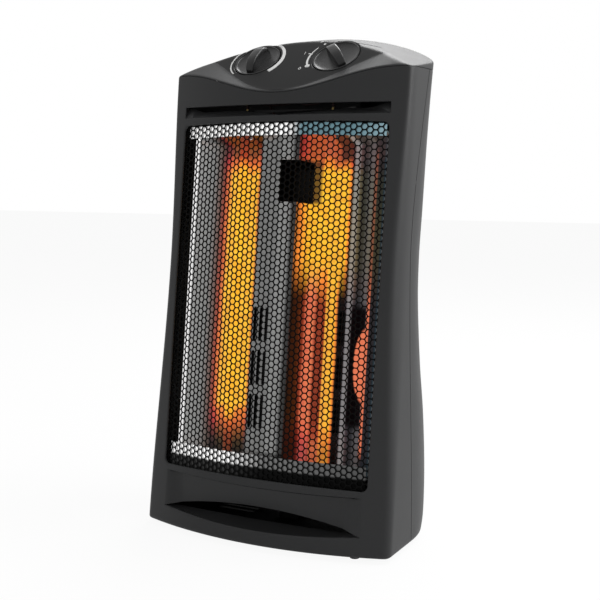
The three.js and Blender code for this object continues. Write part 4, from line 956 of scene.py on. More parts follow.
def loft(rows: Sequence[Array], endless: bool = False) -> Solid:
    """A solid through rings of equal count, turned outwards."""
    return Solid(*closed_rows(rows, endless)).outwards()


def prism(outline: Array, low: float, high: float, to_space: Callable[[Array, float], Array]) -> Solid:
    """An outline run between two levels.

    Args:
        outline: Pairs of numbers.
        low: First level.
        high: Second level.
        to_space: Turns the outline at a level into points.

    Returns:
        The solid.
    """
    return loft([to_space(outline, low), to_space(outline, high)])


def across(outline: Array, x: float) -> Array:
    """Pairs of depth and height, at a place across."""
    return np.column_stack([np.full(len(outline), x), outline[:, 0], outline[:, 1]])


def through(outline: Array, y: float) -> Array:
    """Pairs of place across and height, at a depth."""
    return np.column_stack([outline[:, 0], np.full(len(outline), y), outline[:, 1]])


def upright(outline: Array, z: float) -> Array:
    """Pairs of place across and depth, at a height."""
    return np.column_stack([outline[:, 0], outline[:, 1], np.full(len(outline), z)])


def block(x: tuple[float, float], y: tuple[float, float], z: tuple[float, float]) -> Solid:
    """A plain block, for cutting with and joining to other forms."""
    corners = np.array([(x[0], y[0]), (x[1], y[0]), (x[1], y[1]), (x[0], y[1])])
    return prism(corners, z[0], z[1], upright)


def lathe(profile: Sequence[tuple[float, float]], segments: int, place: Callable[[Array], Array],
          endless: bool = False) -> Solid:
    """A turned form.

    Args:
        profile: Pairs of radius and height from the bottom up; flat ends close it.
        segments: Steps round.
        place: Turns local points into the heater's.
        endless: Whether the profile returns to its start, as a pipe's does.

    Returns:
        The solid.
    """
    angles = np.linspace(0, 2 * math.pi, segments, endpoint=False)
    circle = np.column_stack([np.cos(angles), np.sin(angles)])
    return loft([place(upright(circle * radius, height)) for radius, height in profile], endless)


def rounded_outline(half_width: float, low: float, high: float, radius: float, step: float = 4.0,
                    turn: int = 8) -> Array:
    """A rounded rectangle with points all along its sides.

    Args:
        half_width: Half its width.
        low: Its lower edge.
        high: Its upper edge.
        radius: Its corner radius.
        step: Spacing of the points on the straight sides.
        turn: Steps round each corner.

    Returns:
        The outline, anticlockwise.
    """
    corners = [(half_width - radius, low + radius, -90), (half_width - radius, high - radius, 0),
               (radius - half_width, high - radius, 90), (radius - half_width, low + radius, 180)]
    points: list[Array] = []
    for number, (x, y, start) in enumerate(corners):
        angles = np.radians(np.linspace(start, start + 90, turn + 1))
        arc = np.column_stack([x + radius * np.cos(angles), y + radius * np.sin(angles)])
        points.append(arc)
        x2, y2, start2 = corners[(number + 1) % 4]
        turned = math.radians(start2)
        end = np.array([x2 + radius * math.cos(turned), y2 + radius * math.sin(turned)])
        count = max(2, round(float(np.linalg.norm(end - arc[-1])) / step))
        shares = np.arange(1, count)[:, None] / count
        points.append(arc[-1] * (1 - shares) + end * shares)
    return np.concatenate(points)


def roundover(radius: float) -> list[tuple[float, float]]:
    """How far a cutter flares at each depth so that it leaves a rounded edge.

    Args:
        radius: The edge's radius.

    Returns:
        Pairs of growth and depth, from outside the surface to the full depth of the rounding.
    """
    flare = [(radius + 0.5, -FAR), (radius + 0.5, -0.5), (radius, -0.02)]
    for angle in (22.5, 45.0, 67.5, 90.0):
        turn = math.radians(angle)
        flare.append((radius * (1 - math.sin(turn)), radius * (1 - math.cos(turn))))
    return flare


def mixed(first: Any, second: Any, share: Any) -> Any:
    """A value between two."""
    return first + (second - first) * share


def eased(share: Any) -> Any:
    """A share that starts and ends softly."""
    return share * share * (3 - 2 * share)


def smooth_max(first: Array, second: Array, width: float) -> Array:
    """The larger of two surfaces with the valley between them rounded."""
    share = np.clip(0.5 + 0.5 * (first - second) / width, 0, 1)
    return mixed(second, first, share) + width * share * (1 - share)


def smooth_min(first: Array, second: Array, width: float) -> Array:
    """The smaller of two surfaces with the ridge between them rounded."""
    return -smooth_max(-first, -second, width)


# The heater's body


@dataclass(frozen=True)
class RingPlan:
    """How many stations a ring round the body has on each stretch of one half."""

    front: int = 66
    corner: int = 10
    side: int = 12
    rear: int = 38

    def stations(self) -> tuple[Array, Array, Array]:
        """Each station's stretch, share along it and side, anticlockwise from the middle front.

        Returns:
            Three arrays, one number of each for every station.
        """
        stretch, share = [0], [0.0]
        for number, count in enumerate((self.front, self.corner, self.side, self.rear)):
            stretch += [number] * count
            share += [(i + 1) / count for i in range(count)]
        side = [1.0] * len(stretch)
        return (np.array(stretch + stretch[-2:0:-1]), np.array(share + share[-2:0:-1]),
                np.array(side + [-1.0] * (len(side) - 2)))


@dataclass(frozen=True)
class BodyForm:
    """The heater's outer surfaces; all sizes in millimetres."""

    height: float = 594.0
    foot: float = 6.0
    bow_radius: float = 462.0
    crown_radius: float = 381.0
    crown_rise: float = math.radians(8)
    rear_top: float = 206.0
    waist: float = 330.0
    seam_centre: float = 522.4
    seam_side: float = 548.0
    seam_span: float = 146.0
    half_widths: tuple[float, float, float] = (162.0, 153.5, 156.0)
    corner_widths: tuple[float, float, float] = (7.0, 9.5, 5.0)
    corner_depths: tuple[float, float, float] = (9.0, 28.0, 15.0)
    seam_depths: tuple[float, float, float] = (95.0, 104.0, 150.0)
    rear_depths: tuple[float, float] = (200.0, 233.0)
    rear_stations: tuple[float, ...] = (
        0.01, 0.034, 0.076, 0.15, 0.253, 0.337, 0.42, 0.488, 0.556, 0.64, 0.707, 0.79, 0.867, 0.943, 1.04)
    rear_shares: tuple[float, ...] = (
        0.15, 0.64, 0.88, 1, 0.83, 0.39, 0.12, 0, 0.14, 0.42, 0.45, 0.33, 0.21, 0.18, 0.18)
    roundness: float = 2.6
    wing_slope: float = math.radians(24)
    wing_steepening: float = 0.3
    cap_lip: float = 1.4
    valley: float = 1.2
    ridge: float = 2.4
    bottom_round: float = 3.5
    wall: float = 2.4
    panel_seat: float = 2.5
    middle_depth: float = 150.0
    middle_share: float = 0.62
    edge_passes: int = 14

    def bow(self, x: Array) -> Array:
        """How far the front falls back at a place across."""
        return self.bow_radius - np.sqrt(self.bow_radius ** 2 - np.square(x))

    def front(self, z: Array) -> Array:
        """The front's depth at a height, at the middle."""
        return np.multiply(z, math.tan(LEAN))

    def waisted(self, sizes: tuple[float, float, float], z: Array) -> Array:
        """A size that runs from base to waist to top.

        Args:
            sizes: The size at the base, the waist and the top.
            z: Heights.

        Returns:
            The size at each height.
        """
        below = mixed(sizes[0], sizes[1], eased(np.clip(np.divide(z, self.waist), 0, 1)))
        above = mixed(sizes[1], sizes[2],
                      eased(np.clip((np.asarray(z) - self.waist) / (self.seam_side - self.waist), 0, 1)))
        return np.where(np.asarray(z) < self.waist, below, above)

    def seam(self, z: Array) -> Array:
        """The depth of the seam up the side.

        Args:
            z: Heights.

        Returns:
            The seam's depth at each.
        """
        z = np.asarray(z, float)
        above = np.clip((z - self.waist) / (self.seam_side - self.waist), 0, None)
        return np.where(z < self.waist, mixed(self.seam_depths[0], self.seam_depths[1], z / self.waist),
                        mixed(self.seam_depths[1], self.seam_depths[2], above ** 1.5))

    def rear(self, z: Array) -> Array:
        """The rear's depth at the middle, a smooth curve through stations.

        Args:
            z: Heights.

        Returns:
            The rear's depth at each.
        """
        at = np.asarray(z, float) / self.height
        places, values = np.array(self.rear_stations), np.array(self.rear_shares)
        slopes = (np.append(values[1:], values[-1]) - np.insert(values[:-1], 0, values[0])) \
            / (np.append(places[1:], places[-1]) - np.insert(places[:-1], 0, places[0]))
        i = np.clip(np.searchsorted(places, at) - 1, 0, len(places) - 2)
        span = places[i + 1] - places[i]
        t = np.clip((at - places[i]) / span, 0, 1)
        share = (values[i] * (2 * t ** 3 - 3 * t ** 2 + 1) + values[i + 1] * (3 * t ** 2 - 2 * t ** 3)
                 + span * (slopes[i] * (t ** 3 - 2 * t ** 2 + t) + slopes[i + 1] * (t ** 3 - t ** 2)))
        return mixed(self.rear_depths[0], self.rear_depths[1], share)

    def seam_height(self, x: Array) -> Array:
        """The height of the seam under the cap."""
        share = np.clip(np.abs(x) / self.seam_span, 0, 1)
        return mixed(self.seam_centre, self.seam_side, (1 - np.cos(math.pi * share)) / 2)

    def wing_steepness(self, x: Array) -> Array:
        """How steeply the wings rise, which grows towards their ends."""
        return math.tan(self.wing_slope) + self.wing_steepening * (np.abs(x) / self.seam_span) ** 3

    def wing(self, x: Array, y: Array) -> Array:
        """The height of the wings in front of the panel."""
        edge = self.seam_height(x)
        return edge + (y - self.front(edge) - self.bow(x)) * self.wing_steepness(x)

    def panel(self, y: Array) -> Array:
        """The height of the sloping control panel's plane."""
        return self.seam_centre + (y - self.front(self.seam_centre)) * math.tan(PANEL_SLOPE)

    def crown(self, x: Array, y: Array) -> Array:
        """The height of the crown."""
        dip = self.crown_radius - np.sqrt(self.crown_radius ** 2 - np.square(x))
        return self.height - dip - (self.rear_top - y) * math.tan(self.crown_rise)

    def top(self, x: Array, y: Array, drops: tuple[float, float, float] = (0.0, 0.0, 0.0)) -> Array:
        """The height of the whole top, its parts lowered by drops."""
        low = smooth_max(self.wing(x, y) - drops[1], self.panel(y) - drops[2], self.valley)
        return smooth_min(self.crown(x, y) - drops[0], low, self.ridge)

    def _station(self, stretch: Array, share: Array, side: Array, z: Array) -> Array:
        """Points of rings at heights, before any inset.

        Args:
            stretch: The stretch that each station is on.
            share: Its share along the stretch.
            side: Its side, minus one or one.
            z: Its height.

        Returns:
            Pairs of place across and depth.
        """
        half, width = self.waisted(self.half_widths, z), self.waisted(self.corner_widths, z)
        front, face = self.front(z), half - width
        corner_end = front + self.bow(half) + self.waisted(self.corner_depths, z)
        side_end = np.maximum(self.seam(z), corner_end + 2)
        angle = np.clip(share, 0, 1) * math.pi / 2
        cosine, sine = np.maximum(np.cos(angle), 0), np.sin(angle)
        power = 2 / self.roundness
        near, far, both = (1 - share) ** 2, share ** 2, 2 * share * (1 - share)
        x = np.select([stretch == 0, stretch == 1, stretch == 2],
                      [face * share, near * face + (both + far) * half, half],
                      half * cosine ** power)
        y = np.select([stretch == 0, stretch == 1, stretch == 2],
                      [front + self.bow(face * share),
                       near * (front + self.bow(face)) + both * (front + self.bow(half)) + far * corner_end,
                       mixed(corner_end, side_end, share)],
                      mixed(side_end, self.rear(z), sine ** power))
        x = np.where((stretch == 3) & (share >= 1), 0.0, x)
        return np.stack([x * side, y], -1)

    def ring(self, plan: RingPlan, z: Array, inset: Array | float = 0.0) -> Array:
        """A ring round the body, each station at its own height.

        Args:
            plan: The ring's stations.
            z: The height of each station.
            inset: How far inside the surface it runs.

        Returns:
            Points, anticlockwise from the middle front.
        """
        stretch, share, side = plan.stations()
        z = np.broadcast_to(np.asarray(z, float), stretch.shape)
        here = self._station(stretch, share, side, z)
        if np.any(inset):
            before = self._station(np.roll(stretch, 1), np.roll(share, 1), np.roll(side, 1), z)
            after = self._station(np.roll(stretch, -1), np.roll(share, -1), np.roll(side, -1), z)
            run = after - before
            run /= np.linalg.norm(run, axis=1)[:, None]
            here = here + np.stack([-run[:, 1], run[:, 0]], -1) * np.reshape(inset, (-1, 1))
        return np.column_stack([here, z])

    def edge(self, plan: RingPlan, inset: float, drops: tuple[float, float, float]) -> Array:
        """Where a ring meets the top surface.

        Args:
            plan: The ring's stations.
            inset: How far inside the surface it runs.
            drops: How far the crown, the wings and the panel are lowered.

        Returns:
            The ring's points.
        """
        z = np.full(len(plan.stations()[0]), self.seam_side)
        for _ in range(self.edge_passes):
            ring = self.ring(plan, z, inset)
            z = self.top(ring[:, 0], ring[:, 1], drops)
        return self.ring(plan, z, inset)

    def column(self, plan: RingPlan, levels: int, inset: float = 0.0, edge_round: float = 2.2,
               drops: tuple[float, float, float] = (0.0, 0.0, 0.0), drop: float = 0.0,
               top_rows: int = 46) -> Solid:
        """The whole body, or its inside, as one closed solid with a rounded upper edge.

        Args:
            plan: The rings' stations.
            levels: How many rings the sides have.
            inset: How far inside the outer surface it runs.
            edge_round: The radius of the upper edge.
            drops: How far the crown, the wings and the panel are lowered.
            drop: How far the lowest ring is lowered.
            top_rows: Rings across the top.

        Returns:
            The solid.
        """
        edge = self.edge(plan, inset, drops)
        shoulder = edge[:, 2] - edge_round
        rows = []
        shares = np.concatenate([np.array([0, 0.12, 0.3, 0.6, 1]) * self.bottom_round / self.height,
                                 np.linspace(0.012, 1, levels)])
        for share in shares:
            z = mixed(self.foot, shoulder, share)
            rise = np.clip(self.bottom_round - (z - self.foot), 0, self.bottom_round)
            tuck = self.bottom_round - np.sqrt(self.bottom_round ** 2 - rise ** 2)
            ring = self.ring(plan, z, inset + tuck)
            if share == 0:
                ring[:, 2] -= drop
            rows.append(ring)
        middle = np.column_stack([edge[:, 0] * self.middle_share,
                                  mixed(self.middle_depth, edge[:, 1], 0.04)])
        inward = middle - edge[:, :2]
        length = np.linalg.norm(inward, axis=1)[:, None]
        start = edge[:, :2] + inward / length * edge_round
        landing = np.column_stack([start, self.top(start[:, 0], start[:, 1], drops)])
        for share in (0.2, 0.4, 0.6, 0.8, 1.0):
            rows.append((1 - share) ** 2 * rows[len(shares) - 1] + 2 * share * (1 - share) * edge
                        + share ** 2 * landing)
        for share in np.linspace(0, 1, top_rows + 1)[1:]:
            place = mixed(start, middle, share)
            rows.append(np.column_stack([place, self.top(place[:, 0], place[:, 1], drops)]))
        return Solid(*closed_rows(rows))

    def on_front(self, x: Array, z: Array, depth: Array | float) -> Array:
        """Points at a depth behind the leaning, bowed front, by upright height."""
        return np.column_stack([x, self.front(z) + self.bow(x) + depth, z])

    def on_leaning_front(self, x: Array, rise: Array, depth: Array | float) -> Array:
        """Points at a depth behind the front, by height measured along its lean."""
        return leaned(np.column_stack([x, self.bow(x) * math.cos(LEAN) + depth, rise]))

    def on_rear(self, x: Array, z: Array, depth: Array | float) -> Array:
        """Points at a depth in front of the rear surface.

        Args:
            x: Places across.
            z: Heights.
            depth: The depth.

        Returns:
            The points.
        """
        seam, half, rear = self.seam(z), self.waisted(self.half_widths, z), self.rear(z)
        share = (1 - np.minimum(np.abs(x) / half, 1) ** self.roundness) ** (1 / self.roundness)
        return np.column_stack([x, mixed(seam, rear, share) - depth, z])


FORM = BodyForm()
PANEL_FOOT = float(FORM.front(FORM.seam_centre))


def leaned(points: Array) -> Array:
    """Turns upright points so that they lean with the front.

    Args:
        points: Rows of three numbers.

    Returns:
        The turned points.
    """
    c, s = math.cos(LEAN), math.sin(LEAN)
    x, y, z = points.T
    return np.column_stack([x, y * c + z * s, z * c - y * s])


def on_panel(points: Array) -> Array:
    """Turns points given across, up the slope and out of the panel into the heater's.

    Args:
        points: Rows of three numbers.

    Returns:
        The turned points.
    """
    c, s = math.cos(PANEL_SLOPE), math.sin(PANEL_SLOPE)
    x, y, z = points.T
    return np.column_stack([x, PANEL_FOOT + y * c - z * s, FORM.seam_centre + y * s + z * c])


def draped(points: Array) -> Array:
    """Lays points given across, up the panel's slope and above it onto the heater's top."""
    depth = PANEL_FOOT + points[:, 1] * math.cos(PANEL_SLOPE)
    return np.column_stack([points[:, 0], depth, FORM.top(points[:, 0], depth) + points[:, 2]])


def flared_cutter(half_width: float, low: float, high: float, corner: float,
                  flare: Sequence[tuple[float, float]],
                  surface: Callable[[Array, Array, float], Array]) -> Solid:
    """A cutter with rounded corners that follows a surface and flares as it leaves it.

    Args:
        half_width: Half its width.
        low: Its lower edge.
        high: Its upper edge.
        corner: Its corner radius.
        flare: Pairs of growth and depth.
        surface: Turns outline points at a depth into the heater's points.

    Returns:
        The solid.
    """
    return loft([surface(*rounded_outline(half_width + grow, low - grow, high + grow, corner + grow).T, depth)
                 for grow, depth in flare])


def tube(path: Array, radius: float, closed: bool, sides: int = 8) -> Solid:
    """A round bar along a path, for cutting grooves with.

    Args:
        path: Points along its middle.
        radius: Its radius.
        closed: Whether it ends where it starts.
        sides: Its faces round.

    Returns:
        The solid.
    """
    before = np.roll(path, 1, 0)
    after = np.roll(path, -1, 0)
    if not closed:
        before[0], after[-1] = path[0], path[-1]
    run = after - before
    run /= np.linalg.norm(run, axis=1)[:, None]
    out = np.cross(run, (0.0, 0.0, 1.0))
    flat = np.linalg.norm(out, axis=1) < 0.2
    out[flat] = np.cross(run[flat], (0.0, 1.0, 0.0))
    out /= np.linalg.norm(out, axis=1)[:, None]
    other = np.cross(run, out)
    angles = np.linspace(0, 2 * math.pi, sides, endpoint=False)
    rows = [path[i] + radius * (np.outer(np.cos(angles), out[i]) + np.outer(np.sin(angles), other[i]))
            for i in range(len(path))]
    return loft(rows, closed)


# Patterns


class Group(Graph):
    """A Geometry Nodes group under construction."""

    def __init__(self, name: str, shape: str, sizes: Sequence[str], counts: Sequence[str] = ()) -> None:
        """Starts a group with named inputs.

        Args:
            name: The group's name.
            shape: The name of its input geometry.
            sizes: The names of its inputs that are plain numbers.
            counts: The names of its inputs that are whole numbers.
        """
        super().__init__(bpy.data.node_groups.new(name, "GeometryNodeTree"))
        kinds = {shape: "Geometry", **dict.fromkeys(counts, "Int"), **dict.fromkeys(sizes, "Float")}
        for label, kind in kinds.items():
            self.tree.interface.new_socket(label, in_out="INPUT", socket_type="NodeSocket" + kind)
        self.tree.interface.new_socket("Geometry", in_out="OUTPUT", socket_type="NodeSocketGeometry")
        self.given = self.node("NodeGroupInput").out

    def close(self, geometry: Socket, finish: Finish, weld: float = 0.0) -> bpy.types.NodeTree:
        """Makes the geometry real, paints it and hands it out.

        Args:
            geometry: What the group has made.
            finish: Its finish.
            weld: The distance in millimetres within which its points are merged.

        Returns:
            The node group.
        """
        real = self.node("GeometryNodeRealizeInstances", {}, {"Geometry": geometry}).out(0)
        real = self.welded(real, weld * MM) if weld else real
        inputs = {"Geometry": real, "Material": PAINTS.get(finish)}
        self.node("NodeGroupOutput", {}, {0: self.node("GeometryNodeSetMaterial", {}, inputs).out(0)})
        return self.tree


def grown(mesh: bpy.types.Mesh, group: bpy.types.NodeTree, sizes: dict[str, float]) -> bpy.types.Mesh:
    """What a Geometry Nodes group makes of a mesh.

    Args:
        mesh: The mesh that goes in, in metres.
        group: The group.
        sizes: Values for the group's inputs, by name.

    Returns:
        The mesh that comes out.
    """
    item = scene_object(mesh.name, mesh)
    modifier = item.modifiers.new("group", "NODES")
    modifier.node_group = group
    for socket in group.interface.items_tree:
        if socket.name in sizes:
            modifier[socket.identifier] = sizes[socket.name]
    return plain_mesh(item)


@dataclass(frozen=True)
class Lattice:
    """Rows and columns of one unit, built with Geometry Nodes."""

    columns: int
    rows: int
    column_pitch: float
    row_pitch: float
    stagger: float = 0.0
    weld: float = 0.0

    def tree(self, finish: Finish) -> bpy.types.NodeTree:
        """Builds the tree: a grid of points, every other column raised, with the unit on each.

        Args:
            finish: The material that the tree sets.

        Returns:
            The node group.
        """
        sizes = ("Column Pitch", "Row Pitch", "Stagger")
        graph = Group("lattice_of_units", "Unit", sizes, ("Columns", "Rows"))
        columns, rows, stagger = graph.given("Columns"), graph.given("Rows"), graph.given("Stagger")
        points = graph.node("GeometryNodePoints", {}, {"Count": columns * rows}).out(0)
        number = graph.node("GeometryNodeInputIndex").out(0)
        column = (number / rows + 0.0001).floor()
        row = number - column * rows
        odd = column - (column / 2.0).floor() * 2.0
        x = (column - (columns - 1.0) / 2.0) * graph.given("Column Pitch")
        z = (row - (rows - 1.0) / 2.0 + odd * stagger) * graph.given("Row Pitch")
        inputs = {"Points": graph.set_at(points, x, 0.0, z), "Instance": graph.given("Unit")}
        return graph.close(graph.node("GeometryNodeInstanceOnPoints", {}, inputs).out(0), finish, self.weld)

    def made(self, unit: bpy.types.Mesh, finish: Finish) -> bpy.types.Mesh:
        """Repeats a unit.

        Args:
            unit: The unit's mesh, in metres, about the origin.
            finish: The finish of the result.

        Returns:
            The repeated mesh.
        """
        return grown(unit, self.tree(finish), {
            "Columns": self.columns, "Rows": self.rows, "Column Pitch": self.column_pitch * MM,
            "Row Pitch": self.row_pitch * MM, "Stagger": self.stagger})


def mapped_mesh(mesh: bpy.types.Mesh, to_space: Callable[[Array], Array]) -> Solid:
    """Bends a mesh in metres through a map in millimetres of the heater's space.

    Args:
        mesh: The mesh.
        to_space: The map.

    Returns:
        The bent solid, turned outwards.
    """
    places = np.zeros(len(mesh.vertices) * 3, np.float32)
    mesh.vertices.foreach_get("co", places)
    moved = (to_space(places.reshape(-1, 3).astype(float) / MM) - (0.0, SHIFT, 0.0)) * MM
    mesh.vertices.foreach_set("co", moved.astype(np.float32).ravel())
    mesh.update()
    return Solid.of_mesh(mesh).outwards()


# Shells


@dataclass
class Shells:
    """The moulded body: front bezel, rear housing and top cap, parted by fine seams."""

    gap: float = 0.34
    groove: float = 0.62
    window_half_width: float = 134.5
    window_low: float = 82.0
    window_high: float = 492.33
    window_corner: float = 7.0
    window_round: float = 1.5
    slot_half_width: float = 135.0
    slot_low: float = 495.0
    slot_high: float = 507.6
    slot_corner: float = 1.2
    slot_round: float = 1.0
    slot_depth: float = 11.0
    ramp_rise: float = 6.5
    ramp_depth: float = 8.0
    outlet_margin: float = 1.5
    tray_start: float = 1.2
    ramp_end: float = 106.0
    scoop_half_width: float = 130.0
    scoop_top: float = 71.5
    lens_top: float = 46.0
    lens_low: float = 22.5
    lens_end: float = 29.0
    scoop_depth: float = 15.0
    lens_depth: float = 14.0
    lip_rise: float = -8.5
    scoop_step: float = 4.6
    scoop_end: float = 16.0
    scoop_groove: float = 1.6
    scoop_reach: float = 7.0
    scoop_sill: float = 0.45
    scoop_trough: float = 3.0
    post_x: float = 139.0
    post_radius: float = 4.5
    sleeve_radius: float = 6.6
    screw_radius: float = 1.9
    head_radius: float = 4.3
    head_depth: float = 8.0
    post_heights: tuple[float, float] = (48.0, 519.0)
    grip_half_width: float = 56.0
    grip_low: float = 478.0
    grip_high: float = 520.0
    grip_corner: float = 6.0
    grip_round: float = 2.2
    grip_depth: float = 176.0
    louvre_width: float = 62.0
    louvre_height: float = 5.0
    louvre_pitch: float = 18.0
    louvre_inner: float = 9.0
    louvre_rows: int = 7
    louvre_lowest: float = 236.0
    intake_rows: int = 3
    intake_lowest: float = 92.0
    gland_x: float = 36.0
    gland_z: float = 66.0
    gland_hole: float = 6.3
    gland_seat: float = 9.3
    pad_radius: float = 10.5
    pad_rise: float = 1.5

    def build(self, panel: "ControlPanel") -> None:
        """Builds and dresses the three shells.

        Args:
            panel: The control panel, whose recess the cap holds.
        """
        outer = FORM.column(RingPlan(), 112)
        inner_drops = (FORM.wall, FORM.wall / math.cos(FORM.wing_slope),
                       (FORM.panel_seat + FORM.wall) / math.cos(PANEL_SLOPE))
        inner = FORM.column(RingPlan(24, 4, 5, 14), 44, FORM.wall, 1.0, inner_drops, FAR, 12)
        panel.outer = outer
        shell = outer.cut(inner)
        grooves = self.grooves()
        for name, solid, node in (("bezel_shell", self.bezel(shell, outer, grooves), "front_bezel"),
                                  ("rear_shell", self.rear(shell, outer, grooves), "rear_housing"),
                                  ("cap_shell", self.cap(shell, grooves, panel), "top_cap")):
            finished_piece(name, solid, SHELL_PLASTIC, Slot.SHELL, replaces=[node])

    def grooves(self) -> list[Solid]:
        """Bars along the seams, which leave a fine groove.

        Returns:
            The bar round the cap's seam and one up each side.
        """
        plan = RingPlan()
        z = np.full(len(plan.stations()[0]), FORM.seam_side)
        for _ in range(6):
            ring = FORM.ring(plan, z)
            z = np.where(ring[:, 1] < FORM.seam_depths[2] - 4, FORM.seam_height(ring[:, 0]), FORM.seam_side)
            z = z - FORM.cap_lip
        bars = [tube(FORM.ring(plan, z), self.groove, True)]
        heights = np.linspace(-10, FORM.seam_side - FORM.cap_lip, 90)
        for side in (-1, 1):
            half = FORM.waisted(FORM.half_widths, heights)
            bars.append(tube(np.column_stack([side * half, FORM.seam(heights), heights]), self.groove, False))
        return bars

    def ahead(self, pull: float) -> Solid:
        """Everything ahead of the side seam.

        Args:
            pull: How far ahead of the seam it ends.

        Returns:
            The solid.
        """
        heights = np.linspace(-FAR, FORM.height + FAR, 120)
        edge = np.column_stack([FORM.seam(np.minimum(heights, FORM.seam_side)) - pull, heights])
        outline = np.concatenate([[(-FAR, -FAR)], edge, [(-FAR, FORM.height + FAR)]])
        reach = FORM.half_widths[0] + FAR
        return prism(outline, -reach, reach, across)

    def above(self, raised: float) -> Solid:
        """Everything above the cap's seam.

        Args:
            raised: How far above the seam it starts.

        Returns:
            The solid.
        """
        reach = FORM.half_widths[0] + FAR
        low = FORM.seam_side - FORM.cap_lip + raised
        x = np.linspace(-FORM.seam_span, FORM.seam_span, 97)
        edge = np.column_stack([x, FORM.seam_height(x) - FORM.cap_lip + raised])
        outline = np.concatenate([[(-reach, low)], edge, [(reach, low), (reach, FORM.height + FAR),
                                                           (-reach, FORM.height + FAR)]])
        front = prism(outline, -FAR, FORM.seam_depths[2], through)
        rear = block((-reach, reach), (FORM.seam_depths[2] - 1, FORM.rear_depths[1] + FAR),
                     (low, FORM.height + FAR))
        return front.add(rear)

    def window(self) -> Solid:
        """The grille's window, with its rounded edge."""
        return flared_cutter(self.window_half_width, self.window_low, self.window_high, self.window_corner,
                             roundover(self.window_round) + [(0.0, FAR)], FORM.on_leaning_front)

    def slot_mouth(self) -> Solid:
        """The outlet slot's rounded edge."""
        return flared_cutter(self.slot_half_width, self.slot_low, self.slot_high, self.slot_corner,
                             roundover(self.slot_round), FORM.on_front)

    def front_loft(self, half_width: float, section: Callable[[float], Sequence[tuple[float, float]]],
                   steps: int = 90) -> Solid:
        """A solid along the bowed front.

        Args:
            half_width: Half its width.
            section: Pairs of depth and height at a place across.
            steps: Pieces along it.

        Returns:
            The solid.
        """
        rows = []
        for x in np.linspace(-half_width, half_width, steps + 1):
            pairs = np.array(section(float(x)), float)
            rows.append(FORM.on_front(np.full(len(pairs), x), pairs[:, 1], pairs[:, 0]))
        return loft(rows)

    def slot_room(self, grow: float) -> Solid:
        """The slot's ramped inside, or with growth the tray around it.

        Args:
            grow: The tray's wall, or nought for the inside.

        Returns:
            The solid.
        """
        low, high, depth = self.slot_low, self.slot_high, self.slot_depth

        def section(x: float) -> list[tuple[float, float]]:
            """Pairs of depth and height at a place across.

            Args:
                x: The place across.

            Returns:
                Pairs of depth and height.
            """
            if grow:
                return [(self.tray_start, low - grow), (depth + grow, low - grow),
                        (depth + grow, high + grow), (self.tray_start, high + grow)]
            past = np.clip((abs(x) - self.ramp_end) / (self.slot_half_width - self.ramp_end), 0, 1)
            level = low + mixed(self.ramp_rise, high - low - 0.4, eased(past))
            return [(-0.5, low), (0.4, low), (self.ramp_depth, level), (depth, level), (depth, high),
                    (-0.5, high)]

        return self.front_loft(self.slot_half_width + grow, section)

    def outlet(self) -> Solid:
        """The opening at the back of the slot.

        Returns:
            The cutter.
        """
        low, near, far = self.slot_low + self.ramp_rise, self.slot_depth - 0.3, self.slot_depth + 30
        section = [(near, low), (far, low), (far, self.slot_high), (near, self.slot_high)]
        return self.front_loft(self.slot_half_width - self.outlet_margin, lambda x: section, 12)

    def scoop(self, grow: float) -> Solid:
        """The inlet scoop below the window, deepest in the middle and fading to its ends.

        Args:
            grow: The tray's wall, or nought for the inside.

        Returns:
            The solid.
        """
        half = self.scoop_half_width + grow

        def section(x: float) -> list[tuple[float, float]]:
            """Pairs of depth and height at a place across.

            Args:
                x: The place across.

            Returns:
                Pairs of depth and height.
            """
            fade = max(0.004, 1 - (x / half) ** 2)
            near = float(eased(np.clip((half - abs(x)) / self.scoop_end, 0.004, 1)))
            ceiling = mixed(self.lens_end, self.lens_top, fade) + grow
            lip = mixed(self.lens_end, self.lens_low, fade) - grow
            depth = self.scoop_depth * min(1.0, 3.2 * fade) * fade ** 0.35 + grow
            lens = self.lens_depth * fade
            step = self.scoop_step * near
            depth = max(depth, step + 0.6 * near)
            low = lip + self.lip_rise * fade
            if grow:
                return [(self.tray_start, self.scoop_top + grow), (2.0 + grow, self.scoop_top + grow),
                        (depth, ceiling), (depth + lens, ceiling - lens / 2), (depth + lens, low),
                        (self.tray_start, lip)]
            groove, rear = self.scoop_groove * near, depth + lens + self.scoop_reach
            return [(-FAR, self.scoop_top + 0.9), (-0.4, self.scoop_top + 0.9), (0.3, self.scoop_top + 0.5),
                    (step + groove, self.scoop_top + 0.2), (step + groove, self.scoop_top - 1.0),
                    (step, self.scoop_top - 1.3), (depth, ceiling),
                    (rear, ceiling - lens / 2), (rear, mixed(low, ceiling, self.scoop_sill)),
                    (max(depth, self.scoop_trough), low + 2.0 * fade),
                    (1.4, lip + 0.35 * fade), (0.5, lip - 0.35), (-0.02, lip - 1.3), (-0.5, lip - 1.7),
                    (-FAR, lip - 1.7)]

        return self.front_loft(half, section)

    def bezel(self, shell: Solid, outer: Solid, grooves: Sequence[Solid]) -> Solid:
        """The front bezel with its window, outlet slot and scoop.

        Args:
            shell: The whole hollow body.
            outer: The whole solid body.
            grooves: The bars along the seams.

        Returns:
            The bezel.
        """
        part = shell.keep(self.ahead(self.gap / 2)).cut(self.above(-self.gap / 2))
        trays = self.scoop(FORM.wall).add(self.slot_room(FORM.wall)).keep(outer)
        part = part.add(trays, *(self.post(*place, True).keep(outer) for place in self.posts()))
        return part.cut(self.scoop(0.0), self.slot_mouth(), self.slot_room(0.0), self.window(),
                        self.outlet(), *grooves)

    def posts(self) -> list[tuple[int, float]]:
        """The side and the height of each screw post."""
        return [(side, z) for z in self.post_heights for side in (-1, 1)]

